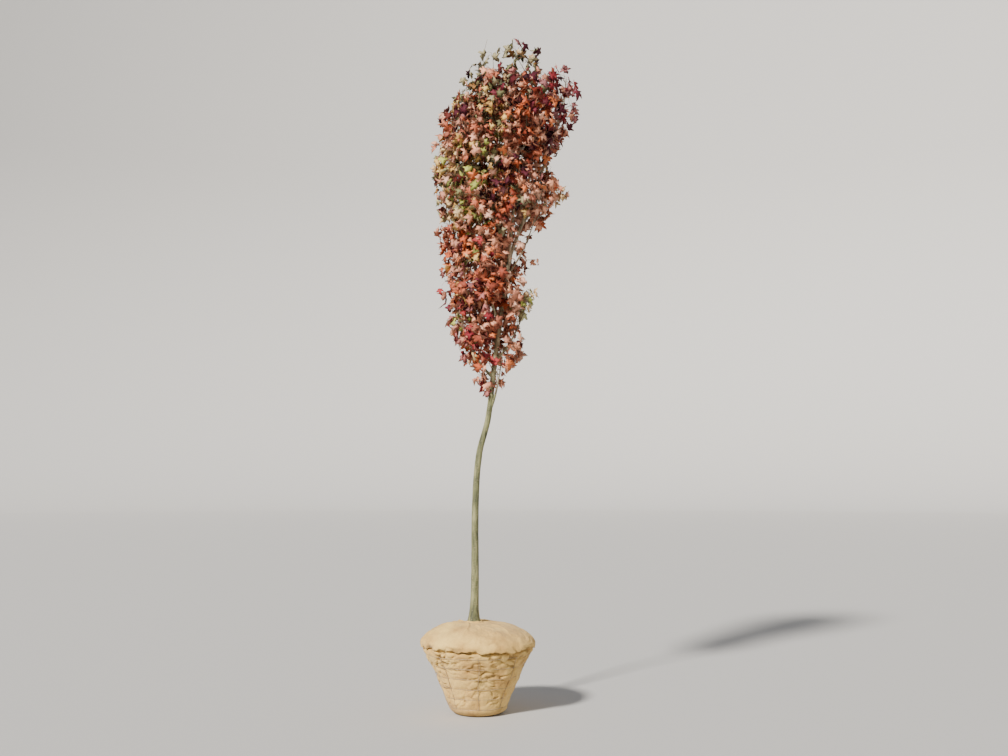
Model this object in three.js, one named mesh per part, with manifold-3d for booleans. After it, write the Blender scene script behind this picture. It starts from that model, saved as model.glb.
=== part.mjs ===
// Maple sapling, dug from the nursery row with its root ball in burlap and a wire basket.
// Millimetres, +Z up. The origin is the centre of the ball's flat underside, the front
// faces -Y, and the trunk leans towards +X.
import * as THREE from "three";
import { mergeVertices } from "three/addons/utils/BufferGeometryUtils.js";
import Module from "manifold-3d";

const wasm = await Module();
wasm.setup();

// Root ball
const FOOT_RADIUS = 118;
const FOOT_ROUNDING = 48;
const WAIST_RADIUS = 192;
const CREASE_RADIUS = 362;
const CREASE_HEIGHT = 428;
const SIDE_FULLNESS = 1.1;
const LIP_RADIUS = 379;
const LIP_HEIGHT = 446;
const BALL_HEIGHT = 585;
const SEAT_RADIUS = 84;
const BALL_FACETS = 24;
const ROUNDING_STEPS = 3;
const DOME_STEPS = 5;

// Wire basket round the ball
const WIRE_WIDTH = 4.6;
const WIRE_CLEARANCE = 0.6;
const RING_LEVELS = [52, 120, 188, 256, 324, 392];
const RING_SIDES = 3;
const UPRIGHTS = 8;

// Trunk: where its centre line passes, read as [height, across, deep]
const TRUNK_LINE = [
  [585, -30, 0],
  [854, -24, 0],
  [1384, -22, 6],
  [1707, 3, 10],
  [1942, 62, 12],
  [2288, 102, 10],
  [2797, 172, 4],
  [3050, 211, 0],
  [3224, 270, -2],
  [3450, 358, 0],
  [3700, 448, 8],
  [4080, 566, 16],
];
const TRUNK_RADIUS = 27;
const TRUNK_TIP_RADIUS = 6;
const TRUNK_TAPER = 1.1;
const FLARE = 20;
const FLARE_HEIGHT = 60;
const TRUNK_SIDES = 8;
const TRUNK_STEPS = 26;
const FLARE_CROWDING = 1.3;

// Crown: its outline seen from the front, read as [height, across]
const RIGHT_EDGE = [
  [2060, 120],
  [2270, 275],
  [2465, 335],
  [2610, 290],
  [2780, 430],
  [2900, 305],
  [3030, 450],
  [3090, 300],
  [3330, 492],
  [3500, 653],
  [3610, 500],
  [3780, 560],
  [4010, 702],
  [4220, 732],
  [4385, 625],
  [4485, 552],
  [4600, 345],
];
const LEFT_EDGE = [
  [2060, 13],
  [2300, -131],
  [2490, -211],
  [2780, -260],
  [3265, -292],
  [3837, -350],
  [4002, -306],
  [4137, -253],
  [4320, -130],
  [4457, -73],
  [4565, 96],
  [4600, 290],
];
const CROWN_DEPTH = 0.95;

// Boughs, and the stems that carry on from them into the foliage
const GOLDEN_ANGLE = 2.39996;
const BOUGHS = 16;
const FIRST_TURN = 5.2;
const FOOT_HEIGHTS = [1990, 3760];
const TIP_HEIGHTS = [2400, 4380];
const TIP_REACH = 0.8;
const BOUGH_SPREAD = 0.62;
const BOUGH_LIFT = 0.25;
const BOUGH_SHARE = 0.4;
const BOUGH_TO_CARRIER = 0.52;
const STEM_TIP_RADIUS = 4;
const LIMB_TAPER = 0.85;
const BOUGH_SIDES = 5;
const BOUGH_STEPS = 4;
const STEM_SIDES = 4;
const STEM_STEPS = 4;
const CLEARANCE = 0.3;

// The second leader, which carries the left-hand top. Its points are [across, deep, height].
const LEADER_BEND = [262, -44, 3660];
const LEADER_TIP = [336, -14, 4475];
const LEADER_FOOT = 2960;
const LEADER_SHARE = 0.6;
const LEADER_TO_TRUNK = 0.8;

// The top of the trunk's own stem, as points of the same kind
const TOP_BEND = [618, 14, 4220];
const TOP_TIP = [596, 0, 4345];

// Twigs of one foliage mass
const TWIGS = 12;
const TWIG_ZONE = [0.04, 0.97];
const TWIG_JITTER = 0.5;
const TWIG_LENGTH = 190;
const TWIG_SHORTENING = 0.5;
const TWIG_TRIES = [1, 0.8, 0.6, 0.45];
const TWIG_ANGLE = 0.95;
const TWIG_LIFT = 0.2;
const TWIG_RADIUS = 4;
const TWIG_TIP_RADIUS = 2.6;
const TWIG_ROOT = 14;
const MASS_SEED = 4100;

// Leaves of one foliage mass
const LEAF_PAIRS_AT = [0.35, 0.65, 0.9];
const LEAF_LENGTH = 142;
const LEAF_LENGTH_SPREAD = 0.2;
const LEAF_TRIES = [1, 0.82, 0.66];
const LEAF_WIDTH = 0.8;
const LEAF_MIDDLE = 0.5;
const LEAF_THICKNESS = 0.03;
const LEAF_SPREAD = 1.2;
const LEAF_DROOP = 0.25;
const LEAF_TILT = 0.5;
const LEAF_SINK = 1.5;
const LEAF_STAGGER = 9;
const LEAF_ROOTING = 9;
const SPACE_MARGIN = 6;
const LIMB_MARGIN = 1.2;

// Finishes of the real surfaces
const BARK = { color: 0xa39f80, roughness: 0.85, metalness: 0 };
const BURLAP = { color: 0xbd9d74, roughness: 0.95, metalness: 0 };
const WIRE = { color: 0x8d8779, roughness: 0.5, metalness: 0.8 };
const LEAF_COLOURS = [0xa8593c, 0xb9663f, 0x8c2f26, 0xa98a4e, 0xb27a5c, 0x8f9150];
const LEAF_ROUGHNESS = 0.7;

// Precision of the working
const MERGE_DISTANCE = 1e-3;
const WELD = 0.01;
const HALVINGS = 30;
const PARAMETER_STEP = 0.01;
const NEARLY_UPRIGHT = 0.9;

// A triangle in a circle of radius 1: half of its width, and its depth
const TRIANGLE_SIDES = 3;
const TRIANGLE_HALF_WIDTH = Math.sin(Math.PI / TRIANGLE_SIDES);
const TRIANGLE_DEPTH = 1 + Math.cos(Math.PI / TRIANGLE_SIDES);

const UP = new THREE.Vector3(0, 0, 1);
const ACROSS = new THREE.Vector3(1, 0, 0);

// The factor and the step of a linear congruential stream, modulo 2 to the power of 32
const DRAW_FACTOR = 1664525;
const DRAW_STEP = 1013904223;

// A stream of numbers from 0 to 1 that is the same for the same seed.
function seededDraws(seed) {
  let state = seed >>> 0;
  return () => {
    state = (Math.imul(state, DRAW_FACTOR) + DRAW_STEP) >>> 0;
    return state / 2 ** 32;
  };
}

// The index of the row of a table, sorted by its first column, that a key falls behind.
function rowBefore(rows, key) {
  let i = 0;
  while (i < rows.length - 2 && rows[i + 1][0] < key) i += 1;
  return i;
}

// The value of rows [key, value] at a key, on straight lines between them.
function straightRow(rows, key) {
  const i = rowBefore(rows, key);
  const [a, b] = [rows[i], rows[i + 1]];
  const t = THREE.MathUtils.clamp((key - a[0]) / (b[0] - a[0]), 0, 1);
  return THREE.MathUtils.lerp(a[1], b[1], t);
}

// The value in a column of rows [key, value, value] at a key, on a smooth line through them.
function smoothRow(rows, key, column) {
  const i = rowBefore(rows, key);
  const [a, b] = [rows[i], rows[i + 1]];
  const before = rows[Math.max(i - 1, 0)];
  const after = rows[Math.min(i + 2, rows.length - 1)];
  const width = b[0] - a[0];
  const slopeA = ((b[column] - before[column]) / (b[0] - before[0])) * width;
  const slopeB = ((after[column] - a[column]) / (after[0] - a[0])) * width;
  const t = THREE.MathUtils.clamp((key - a[0]) / width, 0, 1);
  const rise = t * t * (3 - 2 * t);
  const leaving = t * (1 - t) * (1 - t);
  const arriving = t * t * (t - 1);
  const level = THREE.MathUtils.lerp(a[column], b[column], rise);
  return level + leaving * slopeA + arriving * slopeB;
}

// A unit vector square to an axis, turned about it from a fixed start.
function aside(axis, turn) {
  const reference = Math.abs(axis.z) < NEARLY_UPRIGHT ? UP : ACROSS;
  const first = new THREE.Vector3().crossVectors(axis, reference).normalize();
  const second = new THREE.Vector3().crossVectors(first, axis);
  return first.multiplyScalar(Math.cos(turn)).addScaledVector(second, Math.sin(turn));
}

// The closed solid of a geometry.
function solidOf(geometry) {
  const bare = geometry.clone();
  bare.deleteAttribute("normal");
  bare.deleteAttribute("uv");
  const merged = mergeVertices(bare, MERGE_DISTANCE);
  return new wasm.Manifold(
    new wasm.Mesh({
      numProp: 3,
      vertProperties: merged.attributes.position.array,
      triVerts: new Uint32Array(merged.index.array),
    }),
  );
}

// The geometry of a solid.
function geometryOf(solid) {
  const mesh = solid.getMesh();
  const geometry = new THREE.BufferGeometry();
  geometry.setAttribute("position", new THREE.BufferAttribute(mesh.vertProperties, 3));
  geometry.setIndex(new THREE.BufferAttribute(mesh.triVerts, 1));
  geometry.computeVertexNormals();
  return geometry;
}

// The largest body of a solid: a scrap is dropped, and a sealed hollow is filled.
function largestBody(solid) {
  const larger = (best, body) => (body.volume() > best.volume() ? body : best);
  return solid.decompose().reduce(larger);
}

// Root ball and basket

// The ball's side, from the rounding of its foot up to the crease under its lip.
function sideRadius(height) {
  const share = (height - FOOT_ROUNDING) / (CREASE_HEIGHT - FOOT_ROUNDING);
  return WAIST_RADIUS + (CREASE_RADIUS - WAIST_RADIUS) * share ** SIDE_FULLNESS;
}

function ballGeometry() {
  const profile = [new THREE.Vector2(0, 0)];
  for (let i = 0; i < ROUNDING_STEPS; i += 1) {
    const turn = (i / ROUNDING_STEPS) * (Math.PI / 2);
    const radius = FOOT_RADIUS + (WAIST_RADIUS - FOOT_RADIUS) * Math.sin(turn);
    profile.push(new THREE.Vector2(radius, FOOT_ROUNDING * (1 - Math.cos(turn))));
  }
  for (const height of [...RING_LEVELS, CREASE_HEIGHT]) {
    profile.push(new THREE.Vector2(sideRadius(height), height));
  }
  for (let i = 0; i <= DOME_STEPS; i += 1) {
    const turn = (i / DOME_STEPS) * (Math.PI / 2);
    const radius = SEAT_RADIUS + (LIP_RADIUS - SEAT_RADIUS) * Math.cos(turn);
    const height = LIP_HEIGHT + (BALL_HEIGHT - LIP_HEIGHT) * Math.sin(turn);
    profile.push(new THREE.Vector2(radius, height));
  }
  profile.push(new THREE.Vector2(0, BALL_HEIGHT));
  return new THREE.LatheGeometry(profile, BALL_FACETS).rotateX(Math.PI / 2);
}

// A ring of wire at a height, its section a triangle with a flat inner side.
function ringGeometry(height) {
  const half = WIRE_WIDTH / 2;
  const middle = sideRadius(height + half) + WIRE_CLEARANCE + half;
  const section = [];
  for (let i = 0; i <= RING_SIDES; i += 1) {
    const turn = (i / RING_SIDES) * 2 * Math.PI;
    section.push(new THREE.Vector2(middle + half * Math.cos(turn), height + half * Math.sin(turn)));
  }
  return new THREE.LatheGeometry(section, BALL_FACETS).rotateX(Math.PI / 2);
}

// An upright wire, which follows the ball's side from the lowest ring to the highest.
function uprightGeometry(bearing) {
  const outline = new THREE.Shape();
  const inner = RING_LEVELS.map((height) => [sideRadius(height) + WIRE_CLEARANCE, height]);
  const outer = inner.map(([radius, height]) => [radius + WIRE_WIDTH, height]).reverse();
  outline.setFromPoints([...inner, ...outer].map(([r, h]) => new THREE.Vector2(r, h)));
  return new THREE.ExtrudeGeometry(outline, { depth: WIRE_WIDTH, bevelEnabled: false })
    .translate(0, 0, -WIRE_WIDTH / 2)
    .rotateX(Math.PI / 2)
    .rotateZ(bearing);
}

function basketSolid() {
  const wires = RING_LEVELS.map((height) => solidOf(ringGeometry(height)));
  for (let i = 0; i < UPRIGHTS; i += 1) {
    wires.push(solidOf(uprightGeometry((i / UPRIGHTS) * 2 * Math.PI)));
  }
  return largestBody(wasm.Manifold.union(wires)).simplify(WELD);
}

// Trunk and boughs

// A tapering limb: a lathed spindle, closed on its axis and bent along a curve.
function limbGeometry(curve, radiusAt, steps, sides) {
  const profile = [new THREE.Vector2(0, 0)];
  for (let i = 0; i <= steps; i += 1) profile.push(new THREE.Vector2(radiusAt(i / steps), i));
  profile.push(new THREE.Vector2(0, steps));
  const geometry = new THREE.LatheGeometry(profile, sides);
  const frames = curve.computeFrenetFrames(steps);
  const place = geometry.attributes.position;
  const point = new THREE.Vector3();
  for (let i = 0; i < place.count; i += 1) {
    const step = Math.round(place.getY(i));
    curve.getPointAt(step / steps, point);
    point.addScaledVector(frames.normals[step], place.getX(i));
    point.addScaledVector(frames.binormals[step], -place.getZ(i));
    place.setXYZ(i, point.x, point.y, point.z);
  }
  return geometry;
}

// A stretch of another curve, between two of its parameters.
class Stretch extends THREE.Curve {
  constructor(curve, from, to) {
    super();
    Object.assign(this, { curve, from, to });
  }

  getPoint(t, target = new THREE.Vector3()) {
    return this.curve.getPoint(THREE.MathUtils.lerp(this.from, this.to, t), target);
  }
}

const TRUNK_FOOT = TRUNK_LINE[0][0];
const TRUNK_TOP = TRUNK_LINE.at(-1)[0];

function trunkPoint(height) {
  const across = smoothRow(TRUNK_LINE, height, 1);
  const deep = smoothRow(TRUNK_LINE, height, 2);
  return new THREE.Vector3(across, deep, height);
}

function trunkRadius(height) {
  const share = (height - TRUNK_FOOT) / (TRUNK_TOP - TRUNK_FOOT);
  const loss = (TRUNK_RADIUS - TRUNK_TIP_RADIUS) * share ** TRUNK_TAPER;
  return TRUNK_RADIUS - loss + FLARE * Math.exp((TRUNK_FOOT - height) / FLARE_HEIGHT);
}

// The trunk: a lathed spindle with level sections, each moved to the centre line. Its flat
// foot stands just clear of the ball.
function trunkGeometry(extra = 0) {
  const profile = [new THREE.Vector2(0, TRUNK_FOOT)];
  for (let i = 0; i <= TRUNK_STEPS; i += 1) {
    const share = (i / TRUNK_STEPS) ** FLARE_CROWDING;
    const height = THREE.MathUtils.lerp(TRUNK_FOOT, TRUNK_TOP, share);
    profile.push(new THREE.Vector2(trunkRadius(height) + extra, height));
  }
  profile.push(new THREE.Vector2(0, TRUNK_TOP));
  const geometry = new THREE.LatheGeometry(profile, TRUNK_SIDES).rotateX(Math.PI / 2);
  const place = geometry.attributes.position;
  for (let i = 0; i < place.count; i += 1) {
    const centre = trunkPoint(place.getZ(i));
    place.setX(i, place.getX(i) + centre.x);
    place.setY(i, place.getY(i) + centre.y);
  }
  return geometry.translate(0, 0, CLEARANCE);
}

// The crown's middle at a height, and how far it reaches from there towards a bearing.
function crownMiddle(height) {
  return (straightRow(LEFT_EDGE, height) + straightRow(RIGHT_EDGE, height)) / 2;
}

function crownReach(height, bearing) {
  const half = (straightRow(RIGHT_EDGE, height) - straightRow(LEFT_EDGE, height)) / 2;
  const facing = Math.cos(bearing) ** 2;
  return half * (facing + CROWN_DEPTH * (1 - facing));
}

function insideCrown(point) {
  const [bottom, top] = [RIGHT_EDGE[0][0], RIGHT_EDGE.at(-1)[0]];
  if (point.z < bottom || point.z > top) return false;
  const across = point.x - crownMiddle(point.z);
  return Math.hypot(across, point.y) < crownReach(point.z, Math.atan2(point.y, across));
}

// The share along a rising curve at which it passes a height.
function shareAtHeight(curve, height) {
  let [low, high] = [0, 1];
  for (let i = 0; i < HALVINGS; i += 1) {
    const middle = (low + high) / 2;
    if (curve.getPoint(middle).z < height) low = middle;
    else high = middle;
  }
  return low;
}

// A limb is a curve that starts inside its carrier and ends at the crown's edge. Its first
// share is a bough, and the rest is the stem of a foliage mass.
function limbRadius(limb, share) {
  return STEM_TIP_RADIUS + (limb.radius - STEM_TIP_RADIUS) * (1 - share) ** LIMB_TAPER;
}

function secondLeader() {
  const foot = trunkPoint(LEADER_FOOT);
  const bend = new THREE.Vector3(...LEADER_BEND);
  const tip = new THREE.Vector3(...LEADER_TIP);
  return {
    name: "second_leader",
    curve: new THREE.QuadraticBezierCurve3(foot, bend, tip),
    radius: trunkRadius(LEADER_FOOT) * LEADER_TO_TRUNK,
    share: LEADER_SHARE,
  };
}

function bough(index, leader) {
  const order = index / (BOUGHS - 1);
  const height = THREE.MathUtils.lerp(...TIP_HEIGHTS, order);
  const bearing = FIRST_TURN + index * GOLDEN_ANGLE;
  const reach = crownReach(height, bearing) * TIP_REACH;
  const across = crownMiddle(height) + reach * Math.cos(bearing);
  const tip = new THREE.Vector3(across, reach * Math.sin(bearing), height);
  const footHeight = THREE.MathUtils.lerp(...FOOT_HEIGHTS, order);
  let foot = trunkPoint(footHeight);
  let radius = trunkRadius(footHeight) * BOUGH_TO_CARRIER;
  if (footHeight > LEADER_FOOT) {
    const share = shareAtHeight(leader.curve, footHeight);
    const other = leader.curve.getPoint(share);
    if (tip.distanceTo(other) < tip.distanceTo(foot)) {
      foot = other;
      radius = limbRadius(leader, share) * BOUGH_TO_CARRIER;
    }
  }
  const bend = new THREE.Vector3(
    THREE.MathUtils.lerp(foot.x, tip.x, BOUGH_SPREAD),
    THREE.MathUtils.lerp(foot.y, tip.y, BOUGH_SPREAD),
    THREE.MathUtils.lerp(foot.z, tip.z, BOUGH_LIFT),
  );
  const curve = new THREE.QuadraticBezierCurve3(foot, bend, tip);
  const name = "bough_" + String(index + 1).padStart(2, "0");
  return { name, curve, radius, share: BOUGH_SHARE };
}

function boughGeometry(limb, extra = 0) {
  const radiusAt = (t) => limbRadius(limb, t * limb.share) + extra;
  const stretch = new Stretch(limb.curve, 0, limb.share);
  return limbGeometry(stretch, radiusAt, BOUGH_STEPS, BOUGH_SIDES);
}

function stemGeometry(limb, start) {
  const radiusAt = (t) => limbRadius(limb, THREE.MathUtils.lerp(start, 1, t));
  return limbGeometry(new Stretch(limb.curve, start, 1), radiusAt, STEM_STEPS, STEM_SIDES);
}

// The trunk's own stem, which carries on from its tip into the top of the foliage.
function topLimb() {
  const foot = trunkPoint(TRUNK_TOP);
  const curve = new THREE.QuadraticBezierCurve3(
    foot.sub(new THREE.Vector3(0, 0, TRUNK_TIP_RADIUS)),
    new THREE.Vector3(...TOP_BEND),
    new THREE.Vector3(...TOP_TIP),
  );
  return { name: "top", curve, radius: TRUNK_TIP_RADIUS, share: 0 };
}

// Foliage masses

// A mass keeps to the part of the crown that lies nearest to its own stem.
function insideSpace(point, stems, own, margin) {
  const near = new THREE.Vector3();
  const distances = stems.map((stem) =>
    stem.closestPointToPoint(point, true, near).distanceTo(point),
  );
  const room = distances[own] + margin;
  return insideCrown(point) && distances.every((d, i) => i === own || d > room);
}

// A three-sided spindle along a direction, with a ridge on the side that it faces. Each row of
// its sizes is [along, half of its width, height of its ridge].
function spindleGeometry(place, direction, facing, rows) {
  const profile = rows.map(([, width], i) => new THREE.Vector2(width ? 1 : 0, i));
  const across = new THREE.Vector3().crossVectors(direction, facing).normalize();
  const ridge = new THREE.Vector3().crossVectors(across, direction);
  const geometry = new THREE.LatheGeometry(profile, TRIANGLE_SIDES);
  const corners = geometry.attributes.position;
  for (let i = 0; i < corners.count; i += 1) {
    const [along, width, height] = rows[Math.round(corners.getY(i))];
    const x = (corners.getX(i) / TRIANGLE_HALF_WIDTH) * width;
    const z = (corners.getZ(i) / TRIANGLE_DEPTH) * height;
    corners.setXYZ(i, x, along, z);
  }
  const frame = new THREE.Matrix4().makeBasis(across, direction, ridge).setPosition(place);
  return geometry.applyMatrix4(frame);
}

// The rows of a leaf that starts at a point along its spindle.
function leafRows(start, length) {
  const widest = start + length * LEAF_MIDDLE;
  const middle = [widest, (length * LEAF_WIDTH) / 2, length * LEAF_THICKNESS];
  return [middle, [start + length, 0, 0]];
}

// A leaf by itself, whose root point lies sunk behind its place.
function leafGeometry({ place, axis, facing }, length) {
  const rows = [[-LEAF_SINK, 0, 0], ...leafRows(-LEAF_SINK, length)];
  return spindleGeometry(place, axis, facing, rows);
}

// A twig that ends in a leaf.
function twigGeometry({ place, axis, facing, radius }, length, leafLength) {
  const ring = (along, r) => [along, r * TRIANGLE_HALF_WIDTH, r * TRIANGLE_DEPTH];
  const root = [[-LEAF_SINK, 0, 0], ring(TWIG_ROOT, radius)];
  const rows = [...root, ring(length, TWIG_TIP_RADIUS), ...leafRows(length, leafLength)];
  return spindleGeometry(place, axis, facing, rows);
}

function cornersOf(geometry) {
  const place = geometry.attributes.position;
  const corner = (_, i) => new THREE.Vector3().fromBufferAttribute(place, i);
  return Array.from({ length: place.count }, corner);
}

// A random vector, each of its components up to the tilt either way.
function randomTilt(draw) {
  const component = () => (2 * draw() - 1) * LEAF_TILT;
  return new THREE.Vector3(component(), component(), component());
}

// The pair of leaves at a place on a twig, one on each of its upper sides.
function leafPair(place, { axis, facing }, draw) {
  return [-1, 1].map((hand) => {
    const side = facing.clone().applyAxisAngle(axis, (hand * Math.PI) / TRIANGLE_SIDES);
    const out = axis.clone().multiplyScalar(Math.cos(LEAF_SPREAD));
    out.addScaledVector(side, Math.sin(LEAF_SPREAD));
    const normal = new THREE.Vector3().crossVectors(axis, side).multiplyScalar(-hand);
    const length = LEAF_LENGTH * (1 - LEAF_LENGTH_SPREAD * draw());
    return {
      place: place.clone().addScaledVector(axis, hand * LEAF_STAGGER),
      axis: out.addScaledVector(UP, -LEAF_DROOP).normalize(),
      facing: normal.add(randomTilt(draw)),
      length,
    };
  });
}

// The mass that grows on from a limb: its stem, twigs in a spiral up it, and their leaves.
// A twig or leaf takes the first of its tries that stays in the space, clear of the limbs and
// clear of all that has grown there, apart from what carries it.
function foliageSolid(limb, stems, own, limbSolids) {
  const draw = seededDraws(MASS_SEED + own);
  const pieces = [limb.stem];
  const grow = (carrier, tries, geometryAt) => {
    const others = [...limbSolids, ...pieces.filter((piece) => piece !== carrier)];
    for (const share of tries) {
      const geometry = geometryAt(share);
      const kept = cornersOf(geometry).every((p) => insideSpace(p, stems, own, SPACE_MARGIN));
      if (!kept) continue;
      const solid = solidOf(geometry);
      if (others.some((other) => solid.minGap(other, LIMB_MARGIN) < LIMB_MARGIN)) continue;
      pieces.push(solid);
      return { share, solid };
    }
    return null;
  };
  const turnStart = draw() * 2 * Math.PI;
  for (let k = 0; k < TWIGS; k += 1) {
    const along = THREE.MathUtils.lerp(...TWIG_ZONE, (k + TWIG_JITTER * draw()) / TWIGS);
    const share = THREE.MathUtils.lerp(limb.share, 1, along);
    const tangent = limb.curve.getTangent(share);
    const side = aside(tangent, turnStart + k * GOLDEN_ANGLE);
    const axis = tangent.clone().multiplyScalar(Math.cos(TWIG_ANGLE));
    axis.addScaledVector(side, Math.sin(TWIG_ANGLE)).addScaledVector(UP, TWIG_LIFT).normalize();
    const facing = randomTilt(draw).add(UP);
    facing.addScaledVector(axis, -facing.dot(axis)).normalize();
    const twig = { place: limb.curve.getPoint(share), axis, facing, radius: TWIG_RADIUS };
    const length = TWIG_LENGTH * (1 - TWIG_SHORTENING * along);
    const leafLength = LEAF_LENGTH * (1 - LEAF_LENGTH_SPREAD * draw());
    const shortest = LEAF_TRIES.at(-1);
    const grown = grow(limb.stem, TWIG_TRIES, (t) =>
      twigGeometry(twig, length * t, leafLength * Math.max(t, shortest)),
    );
    for (const at of LEAF_PAIRS_AT) {
      const place = twig.place.clone().addScaledVector(axis, length * (grown?.share ?? 1) * at);
      for (const leaf of leafPair(place, twig, draw)) {
        if (grown) grow(grown.solid, LEAF_TRIES, (t) => leafGeometry(leaf, leaf.length * t));
      }
    }
  }
  const tangent = limb.curve.getTangent(1);
  const place = limb.curve.getPoint(1).addScaledVector(tangent, -LEAF_ROOTING);
  const last = { place, axis: tangent, facing: UP, length: LEAF_LENGTH };
  grow(limb.stem, LEAF_TRIES, (t) => leafGeometry(last, last.length * t));
  return largestBody(wasm.Manifold.union(pieces)).simplify(WELD);
}

// Assembly

// The share along a limb at which its stem starts, clear of the tip of its bough.
function stemStart({ curve, share }) {
  const step = curve.getPoint(share).distanceTo(curve.getPoint(share + PARAMETER_STEP));
  return share + (CLEARANCE / step) * PARAMETER_STEP;
}

function namedMesh(name, solid, finish) {
  const mesh = new THREE.Mesh(geometryOf(solid), new THREE.MeshStandardMaterial(finish));
  mesh.name = name;
  return mesh;
}

function sapling() {
  const tree = new THREE.Group();
  const trunk = solidOf(trunkGeometry());
  const swollenTrunk = solidOf(trunkGeometry(CLEARANCE));
  tree.add(namedMesh("root_ball", solidOf(ballGeometry()), BURLAP));
  tree.add(namedMesh("wire_basket", basketSolid(), WIRE));
  tree.add(namedMesh("trunk", trunk, BARK));

  const leader = secondLeader();
  const limbs = [leader];
  for (let i = 0; i < BOUGHS; i += 1) limbs.push(bough(i, leader));
  const swollenLeader = solidOf(boughGeometry(leader, CLEARANCE));
  const limbSolids = [trunk];
  for (const limb of limbs) {
    const whole = solidOf(boughGeometry(limb));
    const carriers = limb === leader ? [swollenTrunk] : [swollenTrunk, swollenLeader];
    const solid = largestBody(carriers.reduce((rest, carrier) => rest.subtract(carrier), whole));
    limbSolids.push(solid);
    tree.add(namedMesh(limb.name, solid, BARK));
    limb.stem = solidOf(stemGeometry(limb, stemStart(limb)));
  }
  const top = topLimb();
  top.stem = largestBody(solidOf(stemGeometry(top, 0)).subtract(swollenTrunk));
  limbs.push(top);

  const stems = limbs.map(({ curve, share }) => new THREE.Line3(curve.getPoint(share), curve.getPoint(1)));
  limbs.forEach((limb, i) => {
    const name = "foliage_" + limb.name.replace("bough_", "");
    const finish = { color: LEAF_COLOURS[i % LEAF_COLOURS.length], roughness: LEAF_ROUGHNESS };
    tree.add(namedMesh(name, foliageSolid(limb, stems, i, limbSolids), finish));
  });
  return tree;
}

export default sapling();
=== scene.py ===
"""A young maple in autumn leaf on its burlapped and wire-basketed root ball.

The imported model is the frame. The limbs, twigs and leaves follow the growing rule of its solids, and
are carried on here to finer twigs. Sizes are in millimetres and become metres where a mesh is made.
"""

import json
import logging
import math
from collections.abc import Callable, Iterator, Sequence
from dataclasses import dataclass, field
from enum import Enum

import bmesh
import bpy
import numpy as np
from mathutils import Matrix, Vector, noise
from mathutils.kdtree import KDTree


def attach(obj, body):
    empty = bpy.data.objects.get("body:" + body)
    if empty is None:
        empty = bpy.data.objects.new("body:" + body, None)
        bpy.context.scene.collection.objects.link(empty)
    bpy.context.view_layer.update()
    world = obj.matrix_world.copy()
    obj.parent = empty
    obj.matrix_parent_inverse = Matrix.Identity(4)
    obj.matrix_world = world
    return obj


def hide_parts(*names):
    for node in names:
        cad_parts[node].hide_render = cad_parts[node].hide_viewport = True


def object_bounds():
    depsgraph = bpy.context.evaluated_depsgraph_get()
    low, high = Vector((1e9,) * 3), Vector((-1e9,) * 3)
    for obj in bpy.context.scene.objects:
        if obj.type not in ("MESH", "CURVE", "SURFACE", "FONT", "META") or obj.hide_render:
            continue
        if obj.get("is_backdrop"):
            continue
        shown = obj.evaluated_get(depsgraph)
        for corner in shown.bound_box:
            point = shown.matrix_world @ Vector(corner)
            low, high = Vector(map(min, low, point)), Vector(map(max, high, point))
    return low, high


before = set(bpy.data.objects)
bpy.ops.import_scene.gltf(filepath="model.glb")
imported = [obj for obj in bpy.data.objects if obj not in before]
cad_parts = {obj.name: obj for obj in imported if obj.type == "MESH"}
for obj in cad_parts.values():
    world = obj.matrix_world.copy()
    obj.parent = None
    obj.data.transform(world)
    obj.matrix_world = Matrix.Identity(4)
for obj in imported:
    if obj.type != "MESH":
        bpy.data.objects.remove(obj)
CAD_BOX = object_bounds()

LOG = logging.getLogger("sapling")
BODY = "root"
MM = 0.001
TURN = 2 * math.pi
GOLDEN_ANGLE = 2.39996
UP = Vector((0, 0, 1))
ACROSS = Vector((1, 0, 0))
Rows = Sequence[tuple[float, ...]]
Colour = tuple[float, float, float]
Array = np.ndarray
BMesh = bmesh.types.BMesh
Material = bpy.types.Material
Mesh = bpy.types.Mesh
Node = bpy.types.Node
Piece = bpy.types.Object
Socket = bpy.types.NodeSocket
Relief = Callable[[Array, Array], Array]


def lerp(low: float, high: float, share: float) -> float:
    """The value at a share of the way from low to high."""
    return low + (high - low) * share


def clamp(value: float, low: float = 0.0, high: float = 1.0) -> float:
    """The value, kept between low and high."""
    return min(max(value, low), high)


def row_before(rows: Rows, key: float) -> int:
    """The index of the row of a table, sorted by its first column, that a key falls behind.

    Args:
        rows: The table's rows.
        key: A value of its first column.

    Returns:
        The row's index, never the last one.
    """
    index = 0
    while index < len(rows) - 2 and rows[index + 1][0] < key:
        index += 1
    return index


def straight_row(rows: Rows, key: float) -> float:
    """The second column of a table at a key of its first, on straight lines between its rows."""
    index = row_before(rows, key)
    a, b = rows[index], rows[index + 1]
    return lerp(a[1], b[1], clamp((key - a[0]) / (b[0] - a[0])))


def smooth_row(rows: Rows, key: float, column: int) -> float:
    """A column of a table at a key, on a smooth line through its rows.

    Args:
        rows: The table's rows.
        key: A value of its first column.
        column: The column's index.

    Returns:
        The column's value there.
    """
    index = row_before(rows, key)
    a, b = rows[index], rows[index + 1]
    before, after = rows[max(index - 1, 0)], rows[min(index + 2, len(rows) - 1)]
    width = b[0] - a[0]
    slope_a = (b[column] - before[column]) / (b[0] - before[0]) * width
    slope_b = (after[column] - a[column]) / (after[0] - a[0]) * width
    t = clamp((key - a[0]) / width)
    level = lerp(a[column], b[column], t * t * (3 - 2 * t))
    return level + t * (1 - t) ** 2 * slope_a + t * t * (t - 1) * slope_b


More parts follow.
